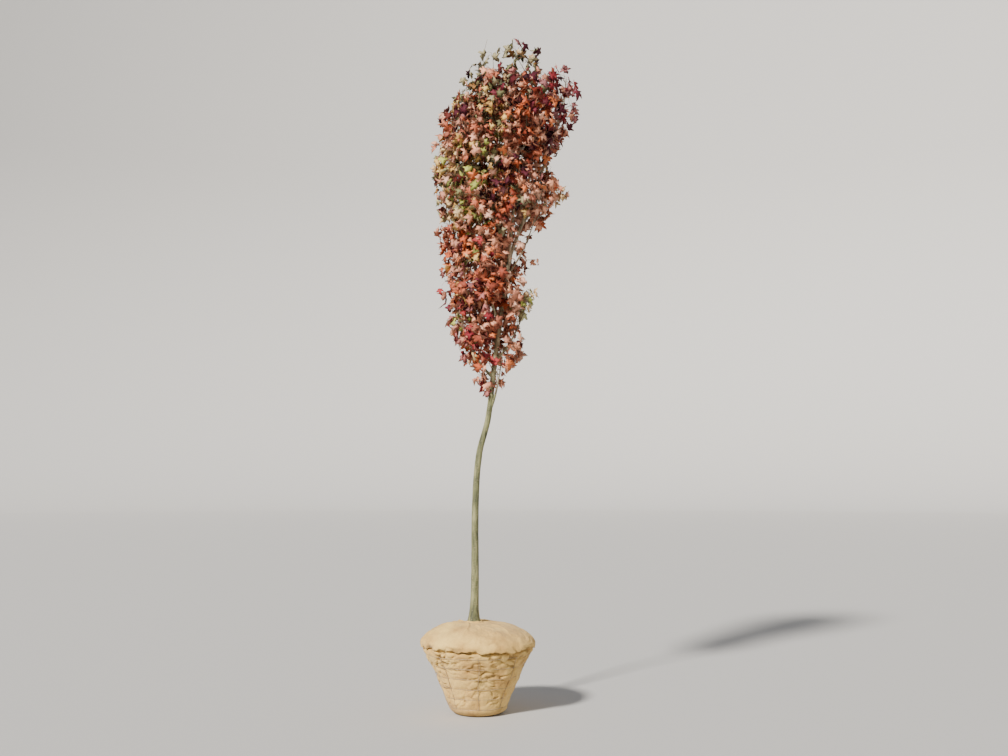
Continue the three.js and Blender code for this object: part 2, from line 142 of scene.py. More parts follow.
def aside(axis: Vector, turn: float) -> Vector:
    """A unit vector square to an axis, turned about it from a fixed start.

    Args:
        axis: The axis, a unit vector.
        turn: The angle, in radians.

    Returns:
        The vector.
    """
    nearly_upright = 0.9
    reference = UP if abs(axis.z) < nearly_upright else ACROSS
    first = axis.cross(reference).normalized()
    second = first.cross(axis)
    return first * math.cos(turn) + second * math.sin(turn)


def vector_field(*place: float) -> Vector:
    """A dataclass's field that starts as that vector."""
    return field(default_factory=lambda: Vector(place))


class Draws:
    """A seeded stream of numbers from 0 to 1, the one that the solids grow by."""

    FACTOR = 1664525
    STEP = 1013904223
    MODULUS = 2**32

    def __init__(self, seed: int) -> None:
        """Starts the stream at a seed."""
        self._state = seed

    def __call__(self) -> float:
        """The next number."""
        self._state = (self._state * self.FACTOR + self.STEP) % self.MODULUS
        return self._state / self.MODULUS

    def between(self, low: float, high: float) -> float:
        """The next number, as a value from low to high."""
        return lerp(low, high, self())

    def tilt(self, size: float) -> Vector:
        """A vector with each component up to a size either way."""
        return Vector([(2 * self() - 1) * size for _ in range(3)])

    def pick(self, weights: dict["Tint", float]) -> "Tint":
        """One of some tints, each as likely as its weight.

        Args:
            weights: The tints and their weights.

        Returns:
            The tint that was drawn.
        """
        mark = self() * sum(weights.values())
        for tint, weight in weights.items():
            mark -= weight
            if mark <= 0:
                return tint
        return tint


# Finishes


class Shader:
    """A node material in the making: one Principled shader and what feeds it."""

    def __init__(self, name: str) -> None:
        """Starts an empty material of that name."""
        self.material = bpy.data.materials.new(name)
        self.material.use_nodes = True
        self.tree = self.material.node_tree
        self.tree.nodes.clear()
        self.surface = self.add("BsdfPrincipled")
        self.add("OutputMaterial", Surface=self.surface.outputs["BSDF"])

    def fill(self, socket: Socket, value: Socket | float | Sequence[float]) -> None:
        """Links a socket to another node's output, or sets it to a plain value or colour."""
        if isinstance(value, Socket):
            self.tree.links.new(value, socket)
        elif socket.type == "RGBA":
            socket.default_value = (*value, 1)
        else:
            socket.default_value = value

    def dress(self, node: Node, **inputs: Socket | float | Sequence[float]) -> Node:
        """Fills sockets of a node, named with underscores for spaces, and returns the node."""
        for key, value in inputs.items():
            self.fill(node.inputs[key.replace("_", " ")], value)
        return node

    def add(self, kind: str, **inputs: Socket | float | Sequence[float]) -> Node:
        """Adds a node of a type, named without the leading ShaderNode, and fills its sockets."""
        return self.dress(self.tree.nodes.new("ShaderNode" + kind), **inputs)

    def on_object(self) -> Socket:
        """Object coordinates."""
        return self.add("TexCoord").outputs["Object"]

    def stretched(self, place: Socket, scale: Sequence[float]) -> Socket:
        """Coordinates scaled by a factor along each axis."""
        return self.add("Mapping", Vector=place, Scale=scale).outputs["Vector"]

    def noise(self, place: Socket, scale: float, detail: float) -> Socket:
        """Noise on some coordinates, with about so many waves a metre and so many finer layers."""
        return self.add("TexNoise", Vector=place, Scale=scale, Detail=detail).outputs["Fac"]

    def ramp(self, value: Socket, stops: Sequence[tuple[float, Colour]]) -> Socket:
        """A colour ramp fed by a value.

        Args:
            value: What it reads.
            stops: Positions from 0 to 1 and their colours.

        Returns:
            The colour.
        """
        node = self.add("ValToRGB", Fac=value)
        elements = node.color_ramp.elements
        while len(elements) < len(stops):
            elements.new(0.5)
        for element, (position, colour) in zip(elements, stops):
            element.position = position
            element.color = (*colour, 1)
        return node.outputs["Color"]

    def mix(self, blend: str, share: Socket | float, low: Socket | Colour, high: Socket | Colour) -> Socket:
        """Mixes two colours.

        Args:
            blend: How, such as MIX or MULTIPLY.
            share: The factor.
            low: The first colour.
            high: The second colour.

        Returns:
            The mixed colour.
        """
        share_socket, low_socket, high_socket, colour_output = 0, 6, 7, 2
        node = self.add("Mix")
        node.data_type = "RGBA"
        node.blend_type = blend
        for index, value in ((share_socket, share), (low_socket, low), (high_socket, high)):
            self.fill(node.inputs[index], value)
        return node.outputs[colour_output]

    def maths(self, operation: str, *values: Socket | float, clamped: bool = False) -> Socket:
        """Works out a value from one, two or three others.

        Args:
            operation: The Math node's operation.
            *values: Numbers, or other nodes' outputs.
            clamped: Whether the result is kept from 0 to 1.

        Returns:
            The value.
        """
        node = self.add("Math")
        node.operation = operation
        node.use_clamp = clamped
        for socket, value in zip(node.inputs, values):
            self.fill(socket, value)
        return node.outputs["Value"]

    def vectors(self, operation: str, *values: Socket | Sequence[float]) -> Node:
        """A node that works out a vector, or its length, from up to three vectors."""
        node = self.add("VectorMath")
        node.operation = operation
        for socket, value in zip(node.inputs, values):
            self.fill(socket, value)
        return node

    def bump(self, height: Socket, distance: float, strength: float) -> None:
        """Adds relief to the surface's normal, over any that is there.

        Args:
            height: The height.
            distance: The relief's depth, in metres.
            strength: How much of it shows.
        """
        node = self.add("Bump", Height=height, Distance=distance, Strength=strength)
        normal = self.surface.inputs["Normal"]
        if normal.is_linked:
            self.tree.links.new(normal.links[0].from_socket, node.inputs["Normal"])
        self.tree.links.new(node.outputs["Normal"], normal)

    def uneven_roughness(self, pattern: Socket, share: float, base: float) -> None:
        """Lets the roughness follow a pattern by a share, over a base."""
        varied = self.maths("MULTIPLY", pattern, share)
        self.dress(self.surface, Roughness=self.maths("ADD", varied, base))


@dataclass(frozen=True)
class LeafFinish:
    """One plain tint of a leaf's face: matt between raised veins, with a fine pucker."""

    name: str
    colour: Colour
    roughness: float = 0.47
    gloss: float = 0.2
    half_fan: float = 0.31
    vein_width: float = 0.035
    vein_edge: float = 0.4
    relief: float = 0.0012

    def material(self) -> Material:
        """The tint as a material, with veins that fan out from the leaf's foot on its UV map."""
        shader = Shader(self.name)
        shader.dress(shader.surface, Base_Color=self.colour, Specular_IOR_Level=self.gloss)
        place = shader.add("UVMap").outputs["UV"]
        parts = shader.add("SeparateXYZ", Vector=place).outputs
        bearing = shader.maths("ARCTAN2", parts["X"], parts["Y"])
        folded = shader.maths("PINGPONG", shader.maths("ABSOLUTE", bearing), self.half_fan)
        apart = shader.maths("MULTIPLY", folded, shader.vectors("LENGTH", place).outputs["Value"])
        across = shader.maths("DIVIDE", apart, self.vein_width)
        vein = shader.maths("SMOOTH_MIN", across, 1.0, self.vein_edge)
        pucker = shader.noise(shader.on_object(), 240.0, 3.0)
        shader.bump(shader.maths("ADD", vein, shader.maths("MULTIPLY", pucker, 0.5)), self.relief, 0.6)
        shader.uneven_roughness(pucker, 0.3, self.roughness)
        return shader.material


@dataclass(frozen=True)
class BarkFinish:
    """Smooth young bark: mottled lengthwise, pale lenticels across it, tanner and painted lighter higher
    up.
    """

    name: str
    pale: Colour
    mid: Colour
    dark: Colour
    lenticel: Colour
    # Aloft, a tanner tone that is partly painted light, lifting the bark out of the crown's shade
    tan_and_painted_light_aloft: Colour = (1, 1, 1)
    green_height: float = 2.08
    tan_height: float = 2.88
    roughness: float = 0.57
    lenticel_depth: float = 0.0012
    mottle_depth: float = 0.0022
    grain_depth: float = 0.0008

    def material(self) -> Material:
        """The bark as a material on Object coordinates."""
        shader = Shader(self.name)
        place = shader.on_object()
        mottle = shader.noise(shader.stretched(place, (1.0, 1.0, 0.16)), 46.0, 6.0)
        patches = shader.noise(shader.stretched(place, (1.0, 1.0, 0.5)), 9.0, 3.0)
        flecks = shader.noise(shader.stretched(place, (1.0, 1.0, 4.5)), 62.0, 2.0)
        grain = shader.noise(shader.stretched(place, (1.0, 1.0, 0.22)), 420.0, 3.0)
        body = shader.ramp(mottle, ((0.34, self.dark), (0.48, self.mid), (0.64, self.pale)))
        shade = shader.ramp(patches, ((0.35, (0.78, 0.8, 0.76)), (0.62, (1.05, 1.03, 0.98))))
        body = shader.mix("MULTIPLY", 0.85, body, shade)
        height = shader.add("SeparateXYZ", Vector=place).outputs["Z"]
        slope = 1 / (self.tan_height - self.green_height)
        rise = shader.maths("MULTIPLY_ADD", height, slope, -self.green_height * slope, clamped=True)
        # Higher up: a tanner tone, partly painted light against the shade of the crown
        body = shader.mix("MULTIPLY", 1.0, body, shader.ramp(rise, ((0.0, (1, 1, 1)), (1.0, self.tan_and_painted_light_aloft))))
        spot = shader.ramp(flecks, ((0.63, (0, 0, 0)), (0.69, (1, 1, 1))))
        shader.dress(shader.surface, Base_Color=shader.mix("MIX", spot, body, self.lenticel))
        shader.bump(grain, self.grain_depth, 0.5)
        shader.bump(mottle, self.mottle_depth, 0.55)
        shader.bump(spot, self.lenticel_depth, 0.8)
        shader.uneven_roughness(mottle, 0.3, self.roughness)
        return shader.material


@dataclass(frozen=True)
class BurlapFinish:
    """Coarse jute: a plain weave of uneven threads, with painted shade in its dents and soil near the
    ground.
    """

    name: str
    pale: Colour
    mid: Colour
    brown: Colour
    # The soil colour doubles as the colour of painted shade in the cloth's dents and crease
    soil: Colour
    threads: float = 420.0
    waver: float = 0.004
    slub_stretch: float = 0.06
    slub_scale: float = 620.0
    weave_depth: float = 0.0008
    slub_depth: float = 0.0007
    roughness: float = 0.93
    gloss: float = 0.15
    sheen: float = 0.12
    sheen_roughness: float = 0.6

    def weave(self, shader: Shader, place: Socket) -> tuple[Socket, Socket]:
        """A plain weave, thread by thread over and under.

        Args:
            shader: The material in the making.
            place: The wavering UV place.

        Returns:
            The cloth's height, and where the warp is on top.
        """
        parts = shader.add("SeparateXYZ", Vector=place).outputs
        pitch = self.threads * math.pi
        waves = [shader.maths("SINE", shader.maths("MULTIPLY", parts[axis], pitch)) for axis in "XY"]
        on_top = shader.maths("MULTIPLY_ADD", shader.maths("MULTIPLY", *waves), 4.0, 0.5, clamped=True)
        warp, weft = (shader.maths("ABSOLUTE", wave) for wave in waves)
        return shader.maths("MULTIPLY_ADD", on_top, shader.maths("SUBTRACT", warp, weft), weft), on_top

    def slubs(self, shader: Shader, cloth: Socket, on_top: Socket) -> Socket:
        """The thick and thin of the threads, along whichever of the two is on top."""
        along = ((1.0, self.slub_stretch, 1.0), (self.slub_stretch, 1.0, 1.0))
        warp, weft = (shader.noise(shader.stretched(cloth, way), self.slub_scale, 2.0) for way in along)
        return shader.maths("MULTIPLY_ADD", on_top, shader.maths("SUBTRACT", warp, weft), weft)

    def material(self) -> Material:
        """The cloth as a material on its UV map, which is in metres of cloth."""
        shader = Shader(self.name)
        cloth = shader.add("UVMap").outputs["UV"]
        stray = shader.add("TexNoise", Vector=cloth, Scale=38.0, Detail=2.0).outputs["Color"]
        wavering = shader.vectors("MULTIPLY_ADD", stray, (self.waver, self.waver, 0), cloth)
        weave, on_top = self.weave(shader, wavering.outputs["Vector"])
        slubs = self.slubs(shader, cloth, on_top)
        place = shader.on_object()
        clouds = shader.noise(place, 7.0, 5.0)
        body = shader.ramp(clouds, ((0.3, self.brown), (0.48, self.mid), (0.66, self.pale)))
        threads = shader.ramp(slubs, ((0.34, (0.7, 0.66, 0.6)), (0.6, (1.14, 1.13, 1.1))))
        body = shader.mix("MULTIPLY", 0.8, body, threads)
        holes = shader.ramp(weave, ((0.05, (0.4, 0.33, 0.25)), (0.42, (1.0, 1.0, 1.0))))
        body = shader.mix("MULTIPLY", 0.7, body, holes)
        # A mask of painted shade in dents and crease, a darker side and soil near the foot, mixed towards
        # the soil colour
        crease_shade_and_soil = shader.add("Attribute")
        crease_shade_and_soil.attribute_name = "crease_shade_and_soil"
        patchiness = shader.maths("ADD", shader.noise(place, 31.0, 4.0), 0.45)
        shade_and_grime = shader.maths("MULTIPLY", crease_shade_and_soil.outputs["Fac"], patchiness)
        shader.dress(
            shader.surface,
            Base_Color=shader.mix("MIX", shade_and_grime, body, self.soil),
            Roughness=self.roughness,
            Specular_IOR_Level=self.gloss,
            Sheen_Weight=self.sheen,
            Sheen_Roughness=self.sheen_roughness,
        )
        shader.bump(weave, self.weave_depth, 0.55)
        shader.bump(slubs, self.slub_depth, 0.5)
        return shader.material


@dataclass(frozen=True)
class WireFinish:
    """Plain drawn wire, dull and dusted with soil and a little rust."""

    name: str
    steel: Colour
    rust: Colour
    relief: float = 0.0004

    def material(self) -> Material:
        """The wire as a material on Object coordinates."""
        shader = Shader(self.name)
        spots = shader.noise(shader.on_object(), 60.0, 6.0)
        shader.dress(
            shader.surface,
            Base_Color=shader.ramp(spots, ((0.45, self.steel), (0.66, self.rust))),
            Metallic=shader.ramp(spots, ((0.35, (0.6, 0.6, 0.6)), (0.5, (0.05, 0.05, 0.05)))),
        )
        shader.uneven_roughness(spots, 0.5, 0.3)
        shader.bump(spots, self.relief, 0.5)
        return shader.material


@dataclass(frozen=True)
class FloorFinish:
    """A plain pale studio floor."""

    name: str
    colour: Colour
    roughness: float = 0.85
    gloss: float = 0.1

    def material(self) -> Material:
        """The floor as a material."""
        shader = Shader(self.name)
        look = {"Base_Color": self.colour, "Roughness": self.roughness, "Specular_IOR_Level": self.gloss}
        shader.dress(shader.surface, **look)
        return shader.material


BARK = BarkFinish(
    "young_bark",
    pale=(0.3, 0.29, 0.145),
    mid=(0.155, 0.16, 0.07),
    dark=(0.06, 0.067, 0.031),
    lenticel=(0.42, 0.34, 0.2),
    # Tanner and partly painted lighter high up in the crown
    tan_and_painted_light_aloft=(2.0, 1.55, 2.2),
)
TWIG_BARK = BarkFinish(
    "twig_bark",
    pale=(0.3, 0.24, 0.16),
    mid=(0.21, 0.16, 0.1),
    dark=(0.12, 0.085, 0.055),
    lenticel=(0.42, 0.35, 0.25),
)
BURLAP = BurlapFinish(
    "jute_burlap",
    pale=(0.95, 0.66, 0.215),
    mid=(0.8, 0.52, 0.165),
    brown=(0.58, 0.345, 0.105),
    soil=(0.13, 0.075, 0.03),
)
WIRE = WireFinish("basket_steel", steel=(0.46, 0.35, 0.21), rust=(0.34, 0.2, 0.1))
STALK = LeafFinish("leaf_stalk", (0.36, 0.13, 0.07))
FLOOR = FloorFinish("studio_floor", (0.56, 0.55, 0.535))


class Tint(Enum):
    """The autumn tints: a material slot's name, the faces from light to dark, and the underside."""

    # The darker faces serve partly as painted shade, for leaves deep in the crown and at its top
    RUST = (
        "leaves_rust",
        *((0.57, 0.155, 0.08), (0.34, 0.075, 0.043), (0.13, 0.022, 0.016), (0.6, 0.26, 0.17)),
    )
    ORANGE = (
        "leaves_orange",
        *((0.86, 0.24, 0.085), (0.56, 0.12, 0.045), (0.26, 0.042, 0.019), (0.72, 0.31, 0.18)),
    )
    CRIMSON = (
        "leaves_crimson",
        *((0.43, 0.05, 0.052), (0.24, 0.022, 0.029), (0.09, 0.009, 0.014), (0.48, 0.17, 0.15)),
    )
    MAROON = (
        "leaves_crimson",
        *((0.17, 0.024, 0.037), (0.085, 0.012, 0.022), (0.034, 0.006, 0.011), (0.32, 0.12, 0.12)),
    )
    SALMON = (
        "leaves_salmon",
        *((0.93, 0.43, 0.27), (0.71, 0.28, 0.17), (0.4, 0.125, 0.075), (0.82, 0.45, 0.31)),
    )
    GOLD = (
        "leaves_gold",
        *((0.85, 0.55, 0.18), (0.61, 0.35, 0.1), (0.32, 0.15, 0.046), (0.78, 0.53, 0.27)),
    )
    GREEN = (
        "leaves_green",
        *((0.52, 0.54, 0.12), (0.34, 0.36, 0.075), (0.17, 0.18, 0.04), (0.56, 0.52, 0.25)),
    )
    OLIVE = (
        "leaves_green",
        *((0.25, 0.235, 0.1), (0.145, 0.137, 0.06), (0.068, 0.062, 0.033), (0.39, 0.34, 0.19)),
    )

    @property
    def slot(self) -> str:
        """The name of a material slot."""
        return self.value[0]

    @property
    def faces(self) -> tuple[Colour, ...]:
        """The light, middle and dark face colours, and the underside's."""
        return self.value[1:]


@dataclass(frozen=True)
class TintZone:
    """A part of the crown, seen from the front, and the tints that it mostly holds."""

    across: float
    height: float
    weights: dict[Tint, float]


def zone(across: float, height: float, **weights: float) -> TintZone:
    """A part of the crown round a place, with its tints' weights given by their names."""
    return TintZone(across, height, {Tint[name]: weight for name, weight in weights.items()})


TINT_ZONES = (
    # The zones near the top lean to the dark maroon and olive tints, partly as painted shade for leaves
    # seen from below
    zone(280, 4490, OLIVE=6, GOLD=1, MAROON=5),
    zone(470, 4400, MAROON=5, OLIVE=4, CRIMSON=1),
    zone(640, 4300, CRIMSON=4, MAROON=6, RUST=1),
    zone(580, 4040, CRIMSON=4, ORANGE=2, RUST=3, MAROON=4),
    zone(400, 4080, ORANGE=5, RUST=5, CRIMSON=2, MAROON=2),
    zone(150, 4350, OLIVE=7, GOLD=1, MAROON=3, RUST=1),
    zone(40, 4150, SALMON=2, RUST=2, OLIVE=4, GOLD=2, MAROON=1),
    zone(-180, 3900, MAROON=1, SALMON=4, GOLD=2, RUST=2, OLIVE=1),
    zone(80, 3800, GOLD=3, SALMON=3, RUST=3, GREEN=1, OLIVE=2),
    zone(360, 3720, SALMON=3, ORANGE=3, MAROON=3, RUST=3),
    zone(560, 3520, SALMON=5, ORANGE=4, GOLD=2),
    zone(-160, 3480, GREEN=3, GOLD=4, SALMON=2, RUST=2, OLIVE=1),
    zone(160, 3380, SALMON=4, ORANGE=3, RUST=2, MAROON=1, OLIVE=1),
    zone(-140, 3080, GOLD=2, GREEN=1, RUST=5, ORANGE=2, CRIMSON=1, MAROON=1),
    zone(120, 3020, RUST=3, ORANGE=3, SALMON=4, CRIMSON=1),
    zone(420, 3020, RUST=2, SALMON=4, MAROON=1),
    zone(420, 2780, SALMON=2, GREEN=3, GOLD=3),
    zone(-140, 2700, GREEN=1, GOLD=1, RUST=5, ORANGE=2, CRIMSON=3, MAROON=1),
    zone(120, 2660, ORANGE=3, RUST=3, SALMON=4, CRIMSON=1),
    zone(140, 2300, SALMON=3, RUST=3, ORANGE=3, CRIMSON=1),
    zone(-60, 2330, RUST=5, ORANGE=2, CRIMSON=2, GOLD=1),
)


def tint_at(place: Vector, draw: Draws) -> Tint:
    """Deals out the tint of a spray.

    Args:
        place: Where the spray is, in millimetres.
        draw: The stream to draw from.

    Returns:
        The tint.
    """
    wander = 75.0
    across = place.x + draw.between(-wander, wander)
    height = place.z + draw.between(-wander, wander)
    nearest = min(TINT_ZONES, key=lambda z: math.hypot(z.across - across, z.height - height))
    return draw.pick(nearest.weights)


# The plan of the tree


@dataclass(frozen=True)
class TrunkPlan:
    """The trunk's centre line, read as [height, across, deep], and its taper."""

    line: Rows = (
        *((585, -30, 0), (854, -24, 0), (1384, -22, 6), (1707, 3, 10), (1942, 62, 12), (2288, 102, 10)),
        *((2797, 172, 4), (3050, 211, 0), (3224, 270, -2), (3450, 358, 0), (3700, 448, 8), (4080, 566, 16)),
    )
    radius: float = 27
    tip_radius: float = 6
    taper: float = 1.1
    flare: float = 20
    flare_height: float = 60

    @property
    def foot(self) -> float:
        """The height of its flat cut, on top of the ball."""
        return self.line[0][0]

    @property
    def top(self) -> float:
        """The height of its tip."""
        return self.line[-1][0]

    @property
    def length(self) -> float:
        """The height from foot to tip."""
        return self.top - self.foot

    def point(self, height: float) -> Vector:
        """The centre line's point at a height."""
        return Vector((smooth_row(self.line, height, 1), smooth_row(self.line, height, 2), height))

    def radius_at(self, height: float) -> float:
        """The radius at a height, root flare included."""
        share = (height - self.foot) / self.length
        loss = (self.radius - self.tip_radius) * share**self.taper
        return self.radius - loss + self.flare * math.exp((self.foot - height) / self.flare_height)


@dataclass(frozen=True)
class CrownPlan:
    """The crown's outline seen from the front, read as [height, across], and its depth."""

    right_edge: Rows = (
        *((2060, 120), (2270, 275), (2465, 335), (2610, 290), (2780, 430), (2900, 305), (3030, 450)),
        *((3090, 300), (3330, 492), (3500, 653), (3610, 500), (3780, 560), (4010, 702), (4220, 732)),
        *((4385, 625), (4485, 552), (4600, 345)),
    )
    left_edge: Rows = (
        *((2060, 13), (2300, -131), (2490, -211), (2780, -260), (3265, -292), (3837, -350), (4002, -306)),
        *((4137, -253), (4320, -130), (4457, -73), (4565, 96), (4600, 290)),
    )
    depth: float = 0.95

    @property
    def heights(self) -> tuple[float, float]:
        """The heights that it reaches from and to."""
        return self.right_edge[0][0], self.right_edge[-1][0]

    def middle(self, height: float) -> float:
        """The crown's middle at a height, across."""
        return (straight_row(self.left_edge, height) + straight_row(self.right_edge, height)) / 2

    def polar(self, point: Vector) -> tuple[float, float]:
        """A point's distance from the crown's middle, and its bearing, on the level."""
        across = point.x - self.middle(point.z)
        return math.hypot(across, point.y), math.atan2(point.y, across)

    def reach(self, height: float, bearing: float) -> float:
        """How far the crown reaches from its middle at a height, towards a bearing."""
        half = (straight_row(self.right_edge, height) - straight_row(self.left_edge, height)) / 2
        facing = math.cos(bearing) ** 2
        return half * (facing + self.depth * (1 - facing))

    def depth_of(self, point: Vector) -> float:
        """How deep a point is inside the crown, on the level."""
        out, bearing = self.polar(point)
        return self.reach(point.z, bearing) - out

    def holds(self, point: Vector, slack: float = 0.0) -> bool:
        """True if a point is inside the outline, or past it by less than the slack."""
        bottom, top = self.heights
        return bottom - slack <= point.z <= top + slack and self.depth_of(point) > -slack


@dataclass(frozen=True)
class Limb:
    """A curve from inside its carrier to the crown's edge. Its first share is a bough."""

    name: str
    foot: Vector
    bend: Vector
    tip: Vector
    radius: float
    share: float
    stem_tip_radius: float = 4
    taper: float = 0.85

    def point(self, t: float) -> Vector:
        """The curve's point at a parameter."""
        return self.foot * (1 - t) ** 2 + self.bend * (2 * t * (1 - t)) + self.tip * t * t

    def tangent(self, t: float) -> Vector:
        """The curve's direction at a parameter."""
        return ((self.bend - self.foot) * (1 - t) + (self.tip - self.bend) * t).normalized()

    def radius_at(self, t: float) -> float:
        """The limb's radius at a parameter."""
        return self.stem_tip_radius + (self.radius - self.stem_tip_radius) * (1 - t) ** self.taper

    @property
    def mass(self) -> str:
        """The name of the foliage mass that grows on from it."""
        return "foliage_" + self.name.replace("bough_", "")


@dataclass
class LimbPlan:
    """The rule that sets out the boughs, the second leader and the top."""

    trunk: TrunkPlan
    crown: CrownPlan
    boughs: int = 16
    first_turn: float = 5.2
    foot_heights: tuple[float, float] = (1990, 3760)
    tip_heights: tuple[float, float] = (2400, 4380)
    tip_reach: float = 0.8
    spread: float = 0.62
    lift: float = 0.25
    share: float = 0.4
    to_carrier: float = 0.52
    leader_bend: Vector = vector_field(262, -44, 3660)
    leader_tip: Vector = vector_field(336, -14, 4475)
    leader_foot: float = 2960
    leader_share: float = 0.6
    leader_to_trunk: float = 0.8
    top_bend: Vector = vector_field(618, 14, 4220)
    top_tip: Vector = vector_field(596, 0, 4345)
    halvings: int = 30

    def leader(self) -> Limb:
        """The second leader, which carries the left-hand top."""
        foot = self.trunk.point(self.leader_foot)
        radius = self.trunk.radius_at(self.leader_foot) * self.leader_to_trunk
        return Limb("second_leader", foot, self.leader_bend, self.leader_tip, radius, self.leader_share)

    def top(self) -> Limb:
        """The trunk's own stem, which carries on from its tip into the foliage."""
        radius = self.trunk.tip_radius
        foot = self.trunk.point(self.trunk.top) - UP * radius
        return Limb("top", foot, self.top_bend, self.top_tip, radius, 0.0)

    def share_at_height(self, limb: Limb, height: float) -> float:
        """The parameter at which a rising limb passes a height."""
        low, high = 0.0, 1.0
        for _ in range(self.halvings):
            middle = (low + high) / 2
            if limb.point(middle).z < height:
                low = middle
            else:
                high = middle
        return low

    def bough(self, index: int, leader: Limb) -> Limb:
        """One bough of the spiral up the trunk.

        Args:
            index: Its number from the bottom, from 0.
            leader: The second leader, which carries it where it is the nearer.

        Returns:
            The bough's limb.
        """
        order = index / (self.boughs - 1)
        height = lerp(*self.tip_heights, order)
        bearing = self.first_turn + index * GOLDEN_ANGLE
        reach = self.crown.reach(height, bearing) * self.tip_reach
        across = self.crown.middle(height) + reach * math.cos(bearing)
        tip = Vector((across, reach * math.sin(bearing), height))
        foot_height = lerp(*self.foot_heights, order)
        foot = self.trunk.point(foot_height)
        radius = self.trunk.radius_at(foot_height) * self.to_carrier
        if foot_height > self.leader_foot:
            passing = self.share_at_height(leader, foot_height)
            other = leader.point(passing)
            if (tip - other).length < (tip - foot).length:
                foot = other
                radius = leader.radius_at(passing) * self.to_carrier
        bend = foot.lerp(tip, self.spread)
        bend.z = lerp(foot.z, tip.z, self.lift)
        return Limb(f"bough_{index + 1:02d}", foot, bend, tip, radius, self.share)

    def limbs(self) -> list[Limb]:
        """All limbs, in the order that their masses are numbered in."""
        leader = self.leader()
        return [leader, *(self.bough(i, leader) for i in range(self.boughs)), self.top()]


# Meshes


def new_object(mesh: Mesh, *materials: Material) -> Piece:
    """Links a finished mesh as an object at the origin, under the mesh's own name.

    Args:
        mesh: The mesh, in metres in the part's frame.
        *materials: Its materials, in slot order.

    Returns:
        The object.
    """
    for material in materials:
        mesh.materials.append(material)
    piece = bpy.data.objects.new(mesh.name, mesh)
    bpy.context.scene.collection.objects.link(piece)
    return piece


def shade_smooth(mesh: Mesh) -> None:
    """Shades all faces of a mesh smooth."""
    mesh.polygons.foreach_set("use_smooth", np.ones(len(mesh.polygons), bool))


def hand_over(piece: Piece, slot: str, *nodes: str) -> None:
    """Hands a piece to the frame.

    Args:
        piece: The piece.
        slot: The name of a material slot; not used.
        *nodes: The model's nodes that it stands for.
    """
    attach(piece, BODY)
    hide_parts(*nodes)
    LOG.info("%s: %d faces", piece.name, len(piece.data.polygons))


def circle(turns: Array) -> Array:
    """The places of some turns on a unit circle, as rows, so that noise on them has no seam."""
    return np.column_stack([np.cos(turns), np.sin(turns)])


def fractal(places: Array, octaves: int = 4) -> Array:
    """Smooth fractal noise, about -1 to 1, at rows of three coordinates in waves."""
    return np.array([noise.fractal(Vector(p), 1.0, 2.0, octaves) for p in places])


def valleys(places: Array, width: float) -> Array:
    """The sharp valleys of such a noise, as creased cloth has: 1 at the bottom of one, 0 far from any."""
    ridges = np.abs(np.array([noise.noise(Vector(p)) for p in places])) * 2
    return np.exp(-((ridges / width) ** 2))


def smooth_step(values: Array, low: float, high: float) -> Array:
    """Values turned into 0 below low and 1 above high, with a smooth rise between."""
    share = np.clip((values - low) / (high - low), 0, 1)
    return share * share * (3 - 2 * share)


def hump(values: Array, middle: float, width: float) -> Array:
    """Values turned into 1 at a middle, with a smooth fall to 0 on both sides."""
    return np.exp(-(((values - middle) / width) ** 2))


def places_in(bm: BMesh) -> Array:
    """A bmesh's vertices, in millimetres."""
    return np.array([v.co for v in bm.verts]) / MM


def put(bm: BMesh, places: Array) -> None:
    """Moves a bmesh's vertices to places in millimetres."""
    for vertex, place in zip(bm.verts, places):
        vertex.co = place * MM


def spin_round(bm: BMesh, steps: int, merging: float = 1e-6) -> None:
    """Spins a whole bmesh once round the upright axis, closes it and turns its faces outwards.

    Args:
        bm: The bmesh.
        steps: How many steps the turn has.
        merging: The distance within which doubles become one, in metres.
    """
    whole = bm.verts[:] + bm.edges[:]
    bmesh.ops.spin(bm, geom=whole, cent=(0, 0, 0), axis=UP, angle=TURN, steps=steps, use_merge=True)
    bmesh.ops.remove_doubles(bm, verts=bm.verts[:], dist=merging)
    bmesh.ops.recalc_face_normals(bm, faces=bm.faces[:])


@dataclass
class Spine:
    """A line of points with a radius at each, for a tube to follow."""

    points: Array
    radii: Array

    def lengths(self) -> Array:
        """The distance along the line of each point."""
        steps = np.linalg.norm(np.diff(self.points, axis=0), axis=1)
        return np.concatenate([[0.0], np.cumsum(steps)])

    def frames(self) -> tuple[Array, Array]:
        """Two unit vectors square to the line at each point, which turn as little as they can."""
        tangents = np.gradient(self.points, axis=0)
        tangents /= np.linalg.norm(tangents, axis=1)[:, None]
        normal = np.array(aside(Vector(tangents[0]), 0.0))
        normals = []
        for tangent in tangents:
            normal = normal - tangent * (normal @ tangent)
            normal = normal / np.linalg.norm(normal)
            normals.append(normal)
        normals = np.array(normals)
        return normals, np.cross(tangents, normals)


